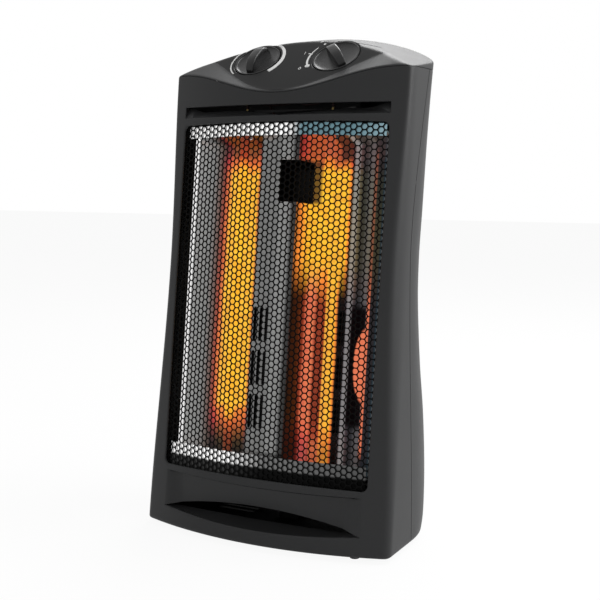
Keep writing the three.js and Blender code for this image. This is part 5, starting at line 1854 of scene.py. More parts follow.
    def post(self, side: int, z: float, ahead: bool) -> Solid:
        """A screw post of the bezel or a sleeve of the rear housing.

        Args:
            side: Minus one for left, one for right.
            z: Its height.
            ahead: Whether it belongs to the bezel.

        Returns:
            The solid.
        """
        if ahead:
            start = float(FORM.front(z) + FORM.bow(self.post_x)) + self.tray_start
            end, radius = float(FORM.seam(z)) - self.gap / 2, self.post_radius
        else:
            start, end = float(FORM.seam(z)) + self.gap / 2, FORM.rear_depths[1] + FAR
            radius = self.sleeve_radius
        return rear_lathe([(radius, start), (radius, end)], side * self.post_x, z)

    def rear(self, shell: Solid, outer: Solid, grooves: Sequence[Solid]) -> Solid:
        """The rear housing with its louvres, hand grip, screw sleeves and cord entry.

        Args:
            shell: The whole hollow body.
            outer: The whole solid body.
            grooves: The bars along the seams.

        Returns:
            The rear housing.
        """
        part = shell.cut(self.ahead(-self.gap / 2), self.above(-self.gap / 2))
        wall = FORM.wall
        pocket = block((-self.grip_half_width - wall, self.grip_half_width + wall),
                       (self.grip_depth - wall, FORM.rear_depths[1] + FAR),
                       (self.grip_low - wall, self.grip_high + wall)).keep(outer)
        part = part.add(pocket, *(self.post(*place, False).keep(outer) for place in self.posts()))
        part = part.cut(self.louvres(self.louvre_rows, self.louvre_lowest),
                        self.louvres(self.intake_rows, self.intake_lowest), self.grip(),
                        *(self.bore(*place) for place in self.posts()))
        surface = float(FORM.on_rear(np.array([self.gland_x]), np.array([self.gland_z]), 0.0)[0, 1])
        radius, rise = self.pad_radius, self.pad_rise
        pad = rear_lathe([(radius, surface - wall - rise), (radius, surface + rise - 0.3),
                          (radius - 0.3, surface + rise)], self.gland_x, self.gland_z, 48)
        hole = rear_lathe([(self.gland_hole, surface - FAR), (self.gland_hole, surface + FAR)],
                          self.gland_x, self.gland_z, 32)
        seat = rear_lathe([(self.gland_seat, surface + rise), (self.gland_seat, surface + FAR)],
                          self.gland_x, self.gland_z, 32)
        return part.add(pad).cut(hole, seat).cut(*grooves)

    def louvres(self, rows: int, lowest: float) -> Solid:
        """Two columns of round-ended slots that follow the rear wall.

        Args:
            rows: Slots in each column.
            lowest: The lower edge of the lowest slot.

        Returns:
            The slots as cutters.
        """
        half = self.louvre_height / 2
        flare = [(1.5, -8.0), (1.5, -0.5), (1.0, -0.02), (0.62, 0.08), (0.29, 0.29), (0.08, 0.62), (0.0, 1.0),
                 (0.0, 30.0)]
        levels = []
        for grow, depth in flare:
            shape = rounded_outline(self.louvre_width / 2 + grow, -half - grow, half + grow,
                                    half + grow - 0.02, 5, 6)
            levels.append(through(shape, depth))
        points, faces = closed_rows(levels)
        unit = raw_mesh("louvre", points * MM, faces)
        lattice = Lattice(2, rows, self.louvre_width + 2 * self.louvre_inner, self.louvre_pitch)
        middle = lowest + half + (rows - 1) * self.louvre_pitch / 2
        return mapped_mesh(lattice.made(unit, SHELL_PLASTIC),
                           lambda p: FORM.on_rear(p[:, 0], p[:, 2] + middle, p[:, 1]))

    def grip(self) -> Solid:
        """The hand grip's pocket with its rounded edge.

        Returns:
            The cutter.
        """
        mouth = flared_cutter(self.grip_half_width, self.grip_low, self.grip_high, self.grip_corner,
                              roundover(self.grip_round) + [(0.0, 12.0)], FORM.on_rear)
        outline = rounded_outline(self.grip_half_width, self.grip_low, self.grip_high, self.grip_corner)
        room = prism(outline, self.grip_depth, float(FORM.rear(500.0)) - 6, through)
        return mouth.add(room)

    def bore(self, side: int, z: float) -> Solid:
        """The counterbore over a housing screw.

        Args:
            side: Minus one for left, one for right.
            z: Its height.

        Returns:
            The cutter.
        """
        start = float(FORM.seam(z)) + self.gap / 2
        head = start + self.head_depth
        profile = [(self.screw_radius, start - FAR / 2), (self.screw_radius, head),
                   (self.head_radius, head), (self.head_radius, FORM.rear_depths[1] + FAR)]
        return rear_lathe(profile, side * self.post_x, z, 32)

    def cap(self, shell: Solid, grooves: Sequence[Solid], panel: "ControlPanel") -> Solid:
        """The top cap with the panel's recess and the wells' holes."""
        part = shell.keep(self.above(self.gap / 2)).cut(panel.recess())
        return part.cut(*panel.cup_holes()).cut(grooves[0])


def rear_lathe(profile: Sequence[tuple[float, float]], x: float, z: float, segments: int = 24) -> Solid:
    """A turned form whose axis runs from front to back; its profile is pairs of radius and depth."""
    return lathe(profile, segments, lambda p: np.column_stack([p[:, 0] + x, p[:, 2], p[:, 1] + z]))


# Controls


class Mark(Enum):
    """What is printed beside the selector, from rest to full heat, as plain numbers."""

    OFF = ("0", 119.5)
    LOW = ("1", 79.0)
    HIGH = ("2", 43.0)


@dataclass
class ControlPanel:
    """The sloping panel with its two wells and printed scales."""

    rim: float = 1.4
    thickness: float = 2.2
    knob_x: float = 52.3
    knob_rise: float = 64.0
    well_radius: float = 29.4
    well_depth: float = 8.0
    well_wall: float = 1.8
    well_round: float = 0.9
    bushing_hole: float = 4.9
    print_lift: float = 0.2
    print_sink: float = 0.3
    print_crease: float = 60.0
    mark_ring: float = 35.0
    outer: Solid | None = None

    def low(self, x: Array) -> Array:
        """Where the panel meets the wings, up the slope."""
        closing = (math.tan(PANEL_SLOPE) - FORM.wing_steepness(x)) * math.cos(PANEL_SLOPE)
        return (FORM.wing(x, PANEL_FOOT) - FORM.seam_centre) / closing

    def high(self, x: Array) -> Array:
        """Where the panel meets the crown, up the slope."""
        closing = math.sin(PANEL_SLOPE) - math.cos(PANEL_SLOPE) * math.tan(FORM.crown_rise)
        return (FORM.crown(x, PANEL_FOOT) - FORM.seam_centre) / closing

    def outline(self, rim: float) -> Array:
        """The panel's outline, kept inside its arris by a rim.

        Args:
            rim: The distance from the arris.

        Returns:
            Pairs of place across and up the slope.
        """
        end = FORM.seam_span
        while self.high(np.array(end)) - self.low(np.array(end)) < 3 * rim:
            end -= rim
        x = np.linspace(-end, end, 121)
        return np.concatenate([np.column_stack([x, self.low(x) + rim]),
                               np.column_stack([x[::-1], self.high(x[::-1]) - rim])])

    def slab(self, rim: float, low: float, high: float) -> Solid:
        """The outline run out of the panel between two levels."""
        return prism(self.outline(rim), low, high,
                     lambda shape, level: on_panel(np.column_stack([shape, np.full(len(shape), level)])))

    def recess(self) -> Solid:
        """What the cap leaves free for the panel."""
        return self.slab(self.rim - 0.2, -FORM.panel_seat, FAR)

    def turned(self, side: int, profile: Sequence[tuple[float, float]], segments: int = 96) -> Solid:
        """A turned form on a knob's axis."""
        offset = np.array([side * self.knob_x, self.knob_rise, 0.0])
        return lathe(profile, segments, lambda p: on_panel(p + offset))

    def cup_holes(self) -> list[Solid]:
        """The cap's holes round the wells."""
        radius = self.well_radius + self.well_wall + 0.3
        return [self.turned(side, [(radius, -FAR / 2), (radius, FAR)]) for side in (-1, 1)]

    def build(self) -> None:
        """Builds the panel plate, its wells and everything printed on it."""
        plate = self.outer.keep(self.slab(self.rim, -self.thickness, FAR / 2))
        floor, radius, soft = -self.well_depth, self.well_radius, self.well_round
        for side in (-1, 1):
            cup = self.turned(side, [(radius + self.well_wall, floor - self.well_wall),
                                     (radius + self.well_wall, -0.6)])
            edge = [(radius, floor), (radius, -soft)]
            edge += [(radius + soft * (1 - math.cos(a)), -soft + soft * math.sin(a))
                     for a in np.radians([30, 60, 88])]
            well = self.turned(side, edge + [(radius + 1.4, 0.5), (radius + 1.4, FAR / 2)])
            hole = self.turned(side, [(self.bushing_hole, -FAR / 2), (self.bushing_hole, FAR / 2)], 32)
            plate = plate.add(cup).cut(well, hole)
        finished_piece("panel_plate", plate, PANEL_PLASTIC, Slot.PANEL, replaces=["control_panel"])
        self.print_scales()

    def band(self, side: int, start: float, end: float, inner: Callable[[float], float],
             outer: Callable[[float], float], steps: int = 72) -> Solid:
        """A printed band round a knob.

        Args:
            side: Minus one for the thermostat, one for the selector.
            start: First bearing in degrees, anticlockwise from straight up the slope.
            end: Last bearing.
            inner: Inner radius at a share of the way.
            outer: Outer radius at a share of the way.
            steps: Pieces along it.

        Returns:
            The band as a thin solid.
        """
        rows = []
        for share in np.linspace(0, 1, steps + 1):
            bearing = mixed(start, end, share)
            near, far = self.at(side, bearing, inner(share)), self.at(side, bearing, outer(share))
            sunk, lifted = (0.0, 0.0, -self.print_sink), (0.0, 0.0, self.print_lift)
            rows.append(draped(np.array([near + sunk, far + sunk, far + lifted, near + lifted])))
        return loft(rows)

    def at(self, side: int, bearing: float, distance: float) -> Array:
        """A place on the panel at a bearing and a distance from a knob's axis.

        Args:
            side: Minus one for the thermostat, one for the selector.
            bearing: Degrees, anticlockwise from straight up the slope.
            distance: The distance from the axis.

        Returns:
            The place, on the panel's own plane.
        """
        turn = math.radians(bearing)
        return np.array([side * self.knob_x - distance * math.sin(turn),
                         self.knob_rise + distance * math.cos(turn), 0.0])

    def disc(self, side: int, bearing: float, distance: float, radius: float) -> Solid:
        """A printed dot at a bearing and a distance from a knob's axis.

        Args:
            side: Minus one for the thermostat, one for the selector.
            bearing: Its bearing.
            distance: Its distance from the axis.
            radius: Its radius.

        Returns:
            The dot.
        """
        offset = self.at(side, bearing, distance)
        profile = [(radius, -self.print_sink), (radius, self.print_lift)]
        return lathe(profile, 28, lambda p: draped(p + offset))

    def digit(self, text: str, bearing: float, distance: float, size: float) -> Solid:
        """A printed number beside the selector, upright on the panel.

        Args:
            text: The number.
            bearing: Its bearing.
            distance: Its distance from the axis.
            size: The size of its type.

        Returns:
            The number as a solid.
        """
        curve = bpy.data.curves.new("digit", "FONT")
        curve.body, curve.size, curve.extrude = text, size * MM, self.print_lift * MM
        curve.align_x, curve.align_y = "CENTER", "CENTER"
        mesh = plain_mesh(scene_object("digit", curve))
        offset = self.at(1, bearing, distance)
        return mapped_mesh(mesh, lambda p: draped(p + offset))

    def print_scales(self) -> None:
        """Prints the thermostat's widening scale and the selector's dots, ticks, arcs and numbers."""
        off, low, high = (mark.value[1] for mark in Mark)
        ring = self.mark_ring
        marks = {
            "thermostat_scale": self.band(-1, 141, -134, lambda t: 33.3 - 2.2 * t ** 2,
                                          lambda t: 34.8 + 2.0 * t ** 2),
            "selector_arc_low": self.band(1, off - 5, low + 1, lambda t: ring - 1.2,
                                          lambda t: ring + 1.2, 24),
            "selector_arc_high": self.band(1, low - 1, high + 15, lambda t: ring - 0.6,
                                           lambda t: ring + 0.6, 24),
            "selector_tick": self.band(1, low + 1.2, low - 1.2, lambda t: ring - 1.5,
                                       lambda t: ring + 4.0, 2),
            "selector_dot_off": self.disc(1, off, ring, 3.0),
            "selector_dot_high": self.disc(1, high, ring, 1.5)}
        for text, bearing in (mark.value for mark in Mark):
            marks[f"selector_number_{text}"] = self.digit(text, bearing, ring + 9.5, 7.0)
        for name, solid in marks.items():
            finished_piece(name, solid, WHITE_PRINT, Slot.PANEL, crease=self.print_crease)


@dataclass
class Knob:
    """A dish knob with a raised grip across it."""

    name: str
    side: int
    pointer: float
    body: Body
    panel: ControlPanel
    radius: float = 28.6
    rim_lift: float = 0.4
    floor_drop: float = 3.6
    lip: float = 1.6
    under: float = -7.3
    blade_width: float = 11.5
    blade_lift: float = 10.4
    blade_reach: float = 22.5
    blade_arch: float = 2.6
    blade_draw: float = 0.28
    blade_round: float = 1.6
    shaft_hole: float = 3.2
    shaft_reach: float = 4.3
    pocket_radius: float = 8.6
    pocket_level: float = -5.2

    def place(self, points: Array) -> Array:
        """Turns a knob's own points onto the panel, at its pointer's angle.

        Args:
            points: Rows of three numbers.

        Returns:
            Points of the heater.
        """
        c, s = math.cos(math.radians(self.pointer)), math.sin(math.radians(self.pointer))
        x, y, z = points.T
        return on_panel(np.column_stack([x * c - y * s + self.side * self.panel.knob_x,
                                         x * s + y * c + self.panel.knob_rise, z]))

    def dish(self) -> Solid:
        """The bowl with its rounded lip.

        Returns:
            The solid.
        """
        outer = [(self.radius - 0.4, self.under), (self.radius, self.under + 0.4),
                 (self.radius, self.rim_lift - 0.5), (self.radius - 0.25, self.rim_lift - 0.1),
                 (self.radius - 0.7, self.rim_lift)]
        inner_edge = self.radius - self.lip
        bowl = [(inner_edge * math.cos(a) ** 0.8,
                 self.rim_lift - (self.floor_drop + self.rim_lift) * math.sin(a) ** 0.8)
                for a in np.radians(np.linspace(6, 89.5, 22))]
        return lathe(outer + [(inner_edge, self.rim_lift - 0.15)] + bowl, 128, self.place)

    def blade(self) -> Solid:
        """The arched grip, its upper edges rounded and its sides drawn in a little.

        Returns:
            The solid.
        """
        foot = -self.floor_drop - 0.6
        rows = []
        for along in np.linspace(-1, 1, 49):
            top = foot + (self.blade_lift - foot) * math.sqrt(max(1 - abs(along) ** self.blade_arch, 0.0))
            half = self.blade_width / 2 * (1 - self.blade_draw * along ** 4)
            top = max(top, self.under + 2)
            soft = min(self.blade_round, (top - self.under) / 3)
            y = along * self.blade_reach
            half = min(half, math.sqrt(max(self.radius ** 2 - 1.0 - y ** 2, 4.0)))
            section = [(-half - 0.5, self.under + 1), (half + 0.5, self.under + 1), (half, top - soft)]
            section += [(half - soft * (1 - math.cos(a)), top - soft + soft * math.sin(a))
                        for a in np.radians([22.5, 45, 67.5, 90])]
            section += [(-x, z) for x, z in reversed(section[2:])]
            rows.append(self.place(through(np.array(section), y)))
        return loft(rows)

    def build(self) -> None:
        """Builds the knob with its socket underneath."""
        below = self.under - 5
        socket = lathe([(self.shaft_hole, below), (self.shaft_hole, self.shaft_reach)], 24, self.place)
        pocket = lathe([(self.pocket_radius, below), (self.pocket_radius, self.pocket_level)], 40, self.place)
        solid = self.dish().add(self.blade()).cut(socket, pocket)
        finished_piece(self.name + "_dish", solid, KNOB_PLASTIC, Slot.KNOB, self.body, [self.name], crease=38)


# Grille


@dataclass
class HoneycombGrille:
    """One perforated sheet folded along two lines, its cells repeated by Geometry Nodes."""

    pitch: float = 7.28
    web: float = 1.2
    corner_reach: float = 1.09
    crease: float = 48.2
    inset: float = 5.22
    low: float = 78.9
    high: float = 495.43
    half_width: float = 137.6
    edge_depth: float = 24.52
    sheet: float = 1.0
    border: float = 2.4
    unit_weld: float = 0.02
    trim_weld: float = 0.1

    def unit(self) -> bpy.types.Mesh:
        """One cell: a hexagonal frame of twelve faces round a hole with softened corners.

        Returns:
            The cell, in metres, with its hole's corners marked.
        """
        steps = 12
        flat, hole_flat = self.pitch / 2, (self.pitch - self.web) / 2
        corners = []
        for side, corner in ((flat, 2 / math.sqrt(3)), (hole_flat, self.corner_reach)):
            for i in range(steps):
                radius, angle = side * (corner if i % 2 == 0 else 1.0), math.pi * 2 * i / steps
                corners.append((radius * math.cos(angle) * MM, 0.0, radius * math.sin(angle) * MM))
        mesh = raw_mesh("cell", corners, [(i, (i + 1) % steps, steps + (i + 1) % steps, steps + i)
                                          for i in range(steps)])
        hole = mesh.attributes.new("hole", "FLOAT", "POINT")
        hole.data.foreach_set("value", [0.0] * steps + [1.0] * steps)
        return mesh

    def fold(self) -> float:
        """The angle of the two side parts."""
        return math.atan((self.edge_depth - self.inset) / (self.half_width - self.crease))

    def depth(self, x: float) -> float:
        """How far the folded sheet's front lies behind the bowed front's middle."""
        return self.inset + max(0.0, abs(x) - self.crease) * math.tan(self.fold())

    def tree(self) -> bpy.types.NodeTree:
        """Builds the sheet's tree: trims the lattice to the sheet, folds it and paints it.

        Returns:
            The node group.
        """
        sizes = ("Half Width", "Low", "High", "Border", "Crease", "Fold", "Inset")
        graph = Group("folded_sheet", "Sheet", sizes)
        low, high, fold = graph.given("Low"), graph.given("High"), graph.given("Fold")
        hole = graph.node("GeometryNodeInputNamedAttribute", {"data_type": "FLOAT"}, {"Name": "hole"}).out(0)
        x, _, z = graph.parts(graph.node("GeometryNodeInputPosition").out(0))
        edge = graph.given("Border") * hole
        limit = graph.given("Half Width") - edge
        z = (z + (low + high) / 2.0).least(high - edge).most(low + edge)
        flat = graph.set_at(graph.given("Sheet"), x.least(limit).most(-limit), 0.0, z)
        trimmed = graph.welded(flat, self.trim_weld * MM)
        x, _, z = graph.parts(graph.node("GeometryNodeInputPosition").out(0))
        past = (abs(x) - graph.given("Crease")).most(0.0)
        folded_x = x.sign() * (abs(x) - past + past * fold.cosine())
        folded_y = past * fold.sine() + graph.given("Inset")
        return graph.close(graph.set_at(trimmed, folded_x, folded_y, z), BLACK_ENAMEL)

    def build(self) -> None:
        """Makes the lattice, folds it and gives it its thickness."""
        side = (self.half_width - self.crease) / math.cos(self.fold())
        flat_half = self.crease + side
        column_pitch = self.pitch * math.sqrt(3) / 2
        columns = 2 * math.ceil(flat_half / column_pitch) + 1
        rows = math.ceil((self.high - self.low) / self.pitch) + 2
        lattice = Lattice(columns, rows, column_pitch, self.pitch, 0.5, self.unit_weld)
        mesh = grown(lattice.made(self.unit(), BLACK_ENAMEL), self.tree(), {
            "Half Width": flat_half * MM, "Low": self.low * MM, "High": self.high * MM,
            "Border": self.border * MM, "Crease": self.crease * MM, "Fold": self.fold(),
            "Inset": self.inset * MM})
        self.clean(mesh)
        thick = scene_object("thick", mesh)
        wall = thick.modifiers.new("wall", "SOLIDIFY")
        wall.thickness, wall.offset, wall.use_even_offset = self.sheet * MM, 1.0, False
        solid = mapped_mesh(plain_mesh(thick), leaned)
        finished_piece("honeycomb_grille", solid, BLACK_ENAMEL, Slot.BLACK_STEEL, replaces=["grille"],
                       crease=30)

    def clean(self, mesh: bpy.types.Mesh) -> None:
        """Drops faces that the trimming flattened and turns the rest to the back, where the wall grows.

        Args:
            mesh: The folded sheet.
        """
        work = bmesh.new()
        work.from_mesh(mesh)
        bmesh.ops.dissolve_degenerate(work, dist=1e-5, edges=work.edges)
        tiny = [face for face in work.faces if face.calc_area() < 1e-9]
        bmesh.ops.delete(work, geom=tiny, context="FACES")
        bmesh.ops.remove_doubles(work, verts=work.verts, dist=2e-5)
        for face in work.faces:
            if face.normal.y < 0:
                face.normal_flip()
        work.to_mesh(mesh)
        work.free()


# Reflector and tubes


@dataclass(frozen=True)
class UpperPlateLine:
    """The sloping underside of the plate over the pan, by depth, before the heater's lean."""

    front: float = 7.24
    rear: float = 71.0
    high: float = 490.63
    fall: float = 22.6

    def level(self, y: Any) -> Any:
        """Its height at a depth."""
        return self.high - (y - self.front) * (self.fall / (self.rear - self.front))


UPPER_PLATE = UpperPlateLine()


@dataclass
class Reflector:
    """The bright pan behind the tubes: a ridge between two troughs, with slots and a cut-out."""

    ridge_crest: float = 17.0
    ridge_edge: float = 20.5
    ridge_half_width: float = 25.0
    half_width: float = 124.0
    depth: float = 62.0
    flange: float = 7.0
    sheet: float = 1.0
    low: float = 95.3
    top_gap: float = 0.3
    width_shares: tuple[float, ...] = (0.0, 0.05, 0.2, 0.37, 0.6, 0.84, 1.0)
    depth_shares: tuple[float, ...] = (0.0, 0.59, 0.93, 1.0, 0.9, 0.71, 0.49)
    cutout: tuple[float, float, float, float] = (2.6, 32.0, 402.2, 450.6)
    slot_rows: int = 3
    slot_row_pitch: float = 51.0
    slot_low: float = 137.0
    slot_length: float = 40.0
    slot_width: float = 4.3
    slot_groups: tuple[tuple[float, int, float], ...] = ((-20.5, 3, 8.3), (70.0, 2, 5.4))

    def profile(self) -> Array:
        """The front face's plan: pairs of place across and depth, from left to right.

        Returns:
            The pairs.
        """
        from_ridge = [(mixed(self.ridge_half_width, self.half_width, wide),
                       mixed(self.ridge_edge, self.depth, deep))
                      for wide, deep in zip(self.width_shares, self.depth_shares)]
        trough = smooth_curve(np.array(from_ridge[1:]), 10)
        first = np.array(from_ridge[0])
        bend = np.linspace(0, 1, 5)[:, None]
        half = np.concatenate([[(0.0, self.ridge_crest)], mixed(first, trough[0], bend[:-1]), trough,
                               [(self.half_width + 0.8, trough[-1, 1] - 0.05),
                                (self.half_width + self.flange, trough[-1, 1])]])
        return np.concatenate([half[:0:-1] * (-1, 1), half])

    def build(self) -> None:
        """Builds the pan as a thin sheet; its face, which carries the painted glow, reflections and shade, is
        a layer of its own.
        """
        x0, x1, z0, z1 = self.cutout
        opening = rounded_outline((x1 - x0) / 2, z0, z1, 2.0)
        hole = prism(opening + ((x0 + x1) / 2, 0), -20, 110, lambda s, y: leaned(through(s, y)))
        half = self.sheet / 2
        # The face layer takes the reflector's painted glow, reflections and shade.
        face = self.skin(0.0, half).cut(*self.cooling_slots(), hole)
        finished_piece("reflector_pan_face", face, REFLECTOR_SHEET, Slot.BRIGHT_STEEL,
                       replaces=["reflector_pan"], crease=40)
        back = self.skin(half, self.sheet).cut(*self.cooling_slots(), hole)
        finished_piece("reflector_pan_back", back, BRIGHT_SHEET, Slot.BRIGHT_STEEL, crease=40)

    def skin(self, near: float, far: float) -> Solid:
        """A layer of the pan between two depths in its sheet.

        Args:
            near: The nearer depth.
            far: The farther depth.

        Returns:
            The layer.
        """
        front = self.profile()
        run = np.gradient(front, axis=0)
        run /= np.linalg.norm(run, axis=1)[:, None]
        out = np.column_stack([-run[:, 1], run[:, 0]])
        outline = np.concatenate([front + out * near, (front + out * far)[::-1]])
        high = UPPER_PLATE.level(outline[:, 1]) - self.top_gap
        return loft([leaned(np.column_stack([outline, mixed(self.low, high, share)]))
                     for share in np.linspace(0, 1, 12)])

    def cooling_slots(self) -> list[Solid]:
        """Two groups of upright slots, repeated by Geometry Nodes.

        Returns:
            A cutter for each group.
        """
        shape = rounded_outline(self.slot_width / 2, -self.slot_length / 2, self.slot_length / 2,
                                self.slot_width / 2 - 0.02, 8, 5)
        points, faces = closed_rows([through(shape, -20.0), through(shape, 110.0)])
        groups = []
        for start, columns, pitch in self.slot_groups:
            unit = raw_mesh("slot", points * MM, faces)
            lattice = Lattice(columns, self.slot_rows, pitch, self.slot_row_pitch)
            centre = np.array([start + (columns - 1) * pitch / 2, 0.0,
                               self.slot_low + self.slot_length / 2
                               + (self.slot_rows - 1) * self.slot_row_pitch / 2])
            groups.append(mapped_mesh(lattice.made(unit, BRIGHT_SHEET), lambda p, c=centre: leaned(p + c)))
        return groups


@dataclass
class EndPlates:
    """The plates over and under the pan, with lips that show as strips behind the grille."""

    grille: HoneycombGrille
    half_width: float = 130.0
    rear: float = 71.0
    sheet: float = 1.0
    facing: float = 0.28
    facing_start: float = 30.0
    gap: float = 1.0
    top_lip: tuple[float, float] = (477.5, 491.6)
    bottom_lip: tuple[float, float] = (80.0, 108.5)
    bottom_level: float = 94.0
    cap_hole: float = 8.3
    tube_x: float = 57.0
    tube_depth: float = 35.0

    def plate(self, lip: tuple[float, float], level: Callable[[float], float]) -> Solid:
        """A plate with a lip that follows the grille's folds.

        Args:
            lip: The lip's lower and upper edge.
            level: The height of the plate's underside at a depth.

        Returns:
            The solid, pierced for the tubes' ends.
        """
        crease = self.grille.crease
        front = self.grille.depth(0.0) + self.sheet / math.cos(self.grille.fold()) + self.gap
        rows = []
        for x in (-self.half_width, -crease, crease, self.half_width):
            edge = front + self.grille.depth(x) - self.grille.depth(0.0)
            inner = edge + self.sheet
            section = [(edge, lip[0]), (edge, lip[1]), (inner, lip[1]), (inner, level(inner) + self.sheet),
                       (self.rear, level(self.rear) + self.sheet), (self.rear, level(self.rear)),
                       (inner, level(inner)), (inner, lip[0])]
            rows.append(leaned(across(np.array(section), x)))
        return self.pierced(loft(rows))

    def pierced(self, solid: Solid) -> Solid:
        """A solid with a hole for each tube's end.

        Args:
            solid: The solid.

        Returns:
            The pierced solid.
        """
        for side in (-1, 1):
            offset = np.array([side * self.tube_x, self.tube_depth, 0.0])
            solid = solid.cut(lathe([(self.cap_hole, 0.0), (self.cap_hole, FORM.height)], 48,
                                    lambda p: leaned(p + offset)))
        return solid

    def build(self) -> None:
        """Builds both plates, with painted reflections on their strips, and a thin facing under the upper one
        that carries the reflector's painted glow.
        """
        level = UPPER_PLATE.level
        finished_piece("reflector_upper_plate", self.plate(self.top_lip, level), TOP_STRIP, Slot.BRIGHT_STEEL,
                       replaces=["reflector_top_plate"])
        # The facing under the upper plate is a layer for the reflector's painted glow and reflections.
        start, end = self.facing_start, self.rear - 0.5
        section = np.array([(start, level(start) - self.facing), (end, level(end) - self.facing),
                            (end, level(end)), (start, level(start))])
        facing = loft([leaned(across(section, x)) for x in (-self.half_width + 1, self.half_width - 1)])
        finished_piece("reflector_upper_facing", self.pierced(facing), REFLECTOR_SHEET, Slot.BRIGHT_STEEL)
        bottom = self.plate(self.bottom_lip, lambda y: self.bottom_level)
        finished_piece("reflector_lower_plate", bottom, BOTTOM_STRIP, Slot.BRIGHT_STEEL,
                       replaces=["reflector_bottom_plate"])


def smooth_curve(points: Array, steps: int) -> Array:
    """A curve through points.

    Args:
        points: The points to pass through.
        steps: Pieces between each two.

    Returns:
        The curve's points.
    """
    padded = np.concatenate([[2 * points[0] - points[1]], points, [2 * points[-1] - points[-2]]])
    rows = []
    for i in range(1, len(padded) - 2):
        a, b, c, d = padded[i - 1:i + 3]
        t = np.linspace(0, 1, steps, endpoint=False)[:, None]
        rows.append(0.5 * (2 * b + (c - a) * t + (2 * a - 5 * b + 4 * c - d) * t ** 2
                           + (3 * b - a - 3 * c + d) * t ** 3))
    return np.concatenate([*rows, points[-1:]])


@dataclass
class QuartzElement:
    """A quartz tube with the glowing coil inside it."""

    side: str
    x: float
    glass: Finish
    wire_finish: Finish
    depth: float = 35.0
    radius: float = 5.5
    wall: float = 1.0
    low: float = 82.0
    high: float = 496.03
    coil_radius: float = 3.0
    wire: float = 0.55
    coil_low: float = 118.0
    coil_high: float = 456.0
    turns: int = 84

    def tube_solid(self) -> Solid:
        """The tube, fire-polished at its ends.

        Returns:
            The tube.
        """
        inner = self.radius - self.wall
        profile = [(inner, self.low + 0.4), (inner + 0.3, self.low), (self.radius - 0.3, self.low),
                   (self.radius, self.low + 0.4)]
        profile += [(self.radius, z) for z in np.linspace(self.low + 10, self.high - 10, 24)]
        profile += [(self.radius, self.high - 0.4), (self.radius - 0.3, self.high), (inner + 0.3, self.high),
                    (inner, self.high - 0.4)]
        offset = np.array([self.x, self.depth, 0.0])
        return lathe(profile, 40, lambda p: leaned(p + offset), True)

    def coil_tree(self) -> bpy.types.NodeTree:
        """Builds the coil's tree: a spiral swept with the wire.

        Returns:
            The node group.
        """
        graph = Group("wound_coil", "Shape", ("Turns", "Coil Radius", "Length", "Wire"))
        radius, profile = graph.given("Coil Radius"), {"Resolution": 5, "Radius": graph.given("Wire")}
        spiral = graph.node("GeometryNodeCurveSpiral", {}, {
            "Resolution": 10, "Rotations": graph.given("Turns"), "Start Radius": radius,
            "End Radius": radius, "Height": graph.given("Length")}).out(0)
        ring = graph.node("GeometryNodeCurvePrimitiveCircle", {}, profile).out(0)
        inputs = {"Curve": spiral, "Profile Curve": ring, "Fill Caps": True}
        return graph.close(graph.node("GeometryNodeCurveToMesh", {}, inputs).out(0), self.wire_finish)

    def coil_solid(self) -> Solid:
        """The wound wire.

        Returns:
            The coil.
        """
        mesh = grown(bpy.data.meshes.new("coil"), self.coil_tree(), {
            "Turns": float(self.turns), "Coil Radius": self.coil_radius * MM,
            "Length": (self.coil_high - self.coil_low) * MM, "Wire": self.wire * MM})
        offset = np.array([self.x, self.depth, self.coil_low])
        return mapped_mesh(mesh, lambda p: leaned(p + offset))

    def build(self) -> None:
        """Builds the tube and its coil."""
        finished_piece(f"glowing_tube_{self.side}", self.tube_solid(), self.glass, Slot.QUARTZ,
                       replaces=[f"quartz_tube_{self.side}"])
        finished_piece(f"wound_coil_{self.side}", self.coil_solid(), self.wire_finish, Slot.WIRE,
                       replaces=[f"heating_coil_{self.side}"], crease=80)


# Feet


@dataclass
class RubberFoot:
    """A tapered rubber foot, dished underneath, in place of a plain one."""

    node: str
    tread: float = 5.6
    top: float = 8.4
    dish: float = 2.6
    dish_depth: float = 1.2

    def build(self) -> None:
        """Builds the foot where its node stands."""
        low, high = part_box(self.node)
        centre = np.array([(low.x + high.x) / 2 / MM, (low.y + high.y) / 2 / MM + SHIFT, 0.0])
        height = high.z / MM
        profile = [(self.dish, self.dish_depth), (self.dish + 0.5, 0.25), (self.dish + 0.9, 0.0),
                   (self.tread - 0.8, 0.0), (self.tread - 0.2, 0.2), (self.tread, 0.7),
                   (self.top - 0.3, height - 0.8), (self.top, height - 0.3), (self.top, height)]
        solid = lathe(profile, 40, lambda p: p + centre)
        finished_piece(self.node + "_tapered", solid, BLACK_RUBBER, Slot.RUBBER, replaces=[self.node])


# Studio


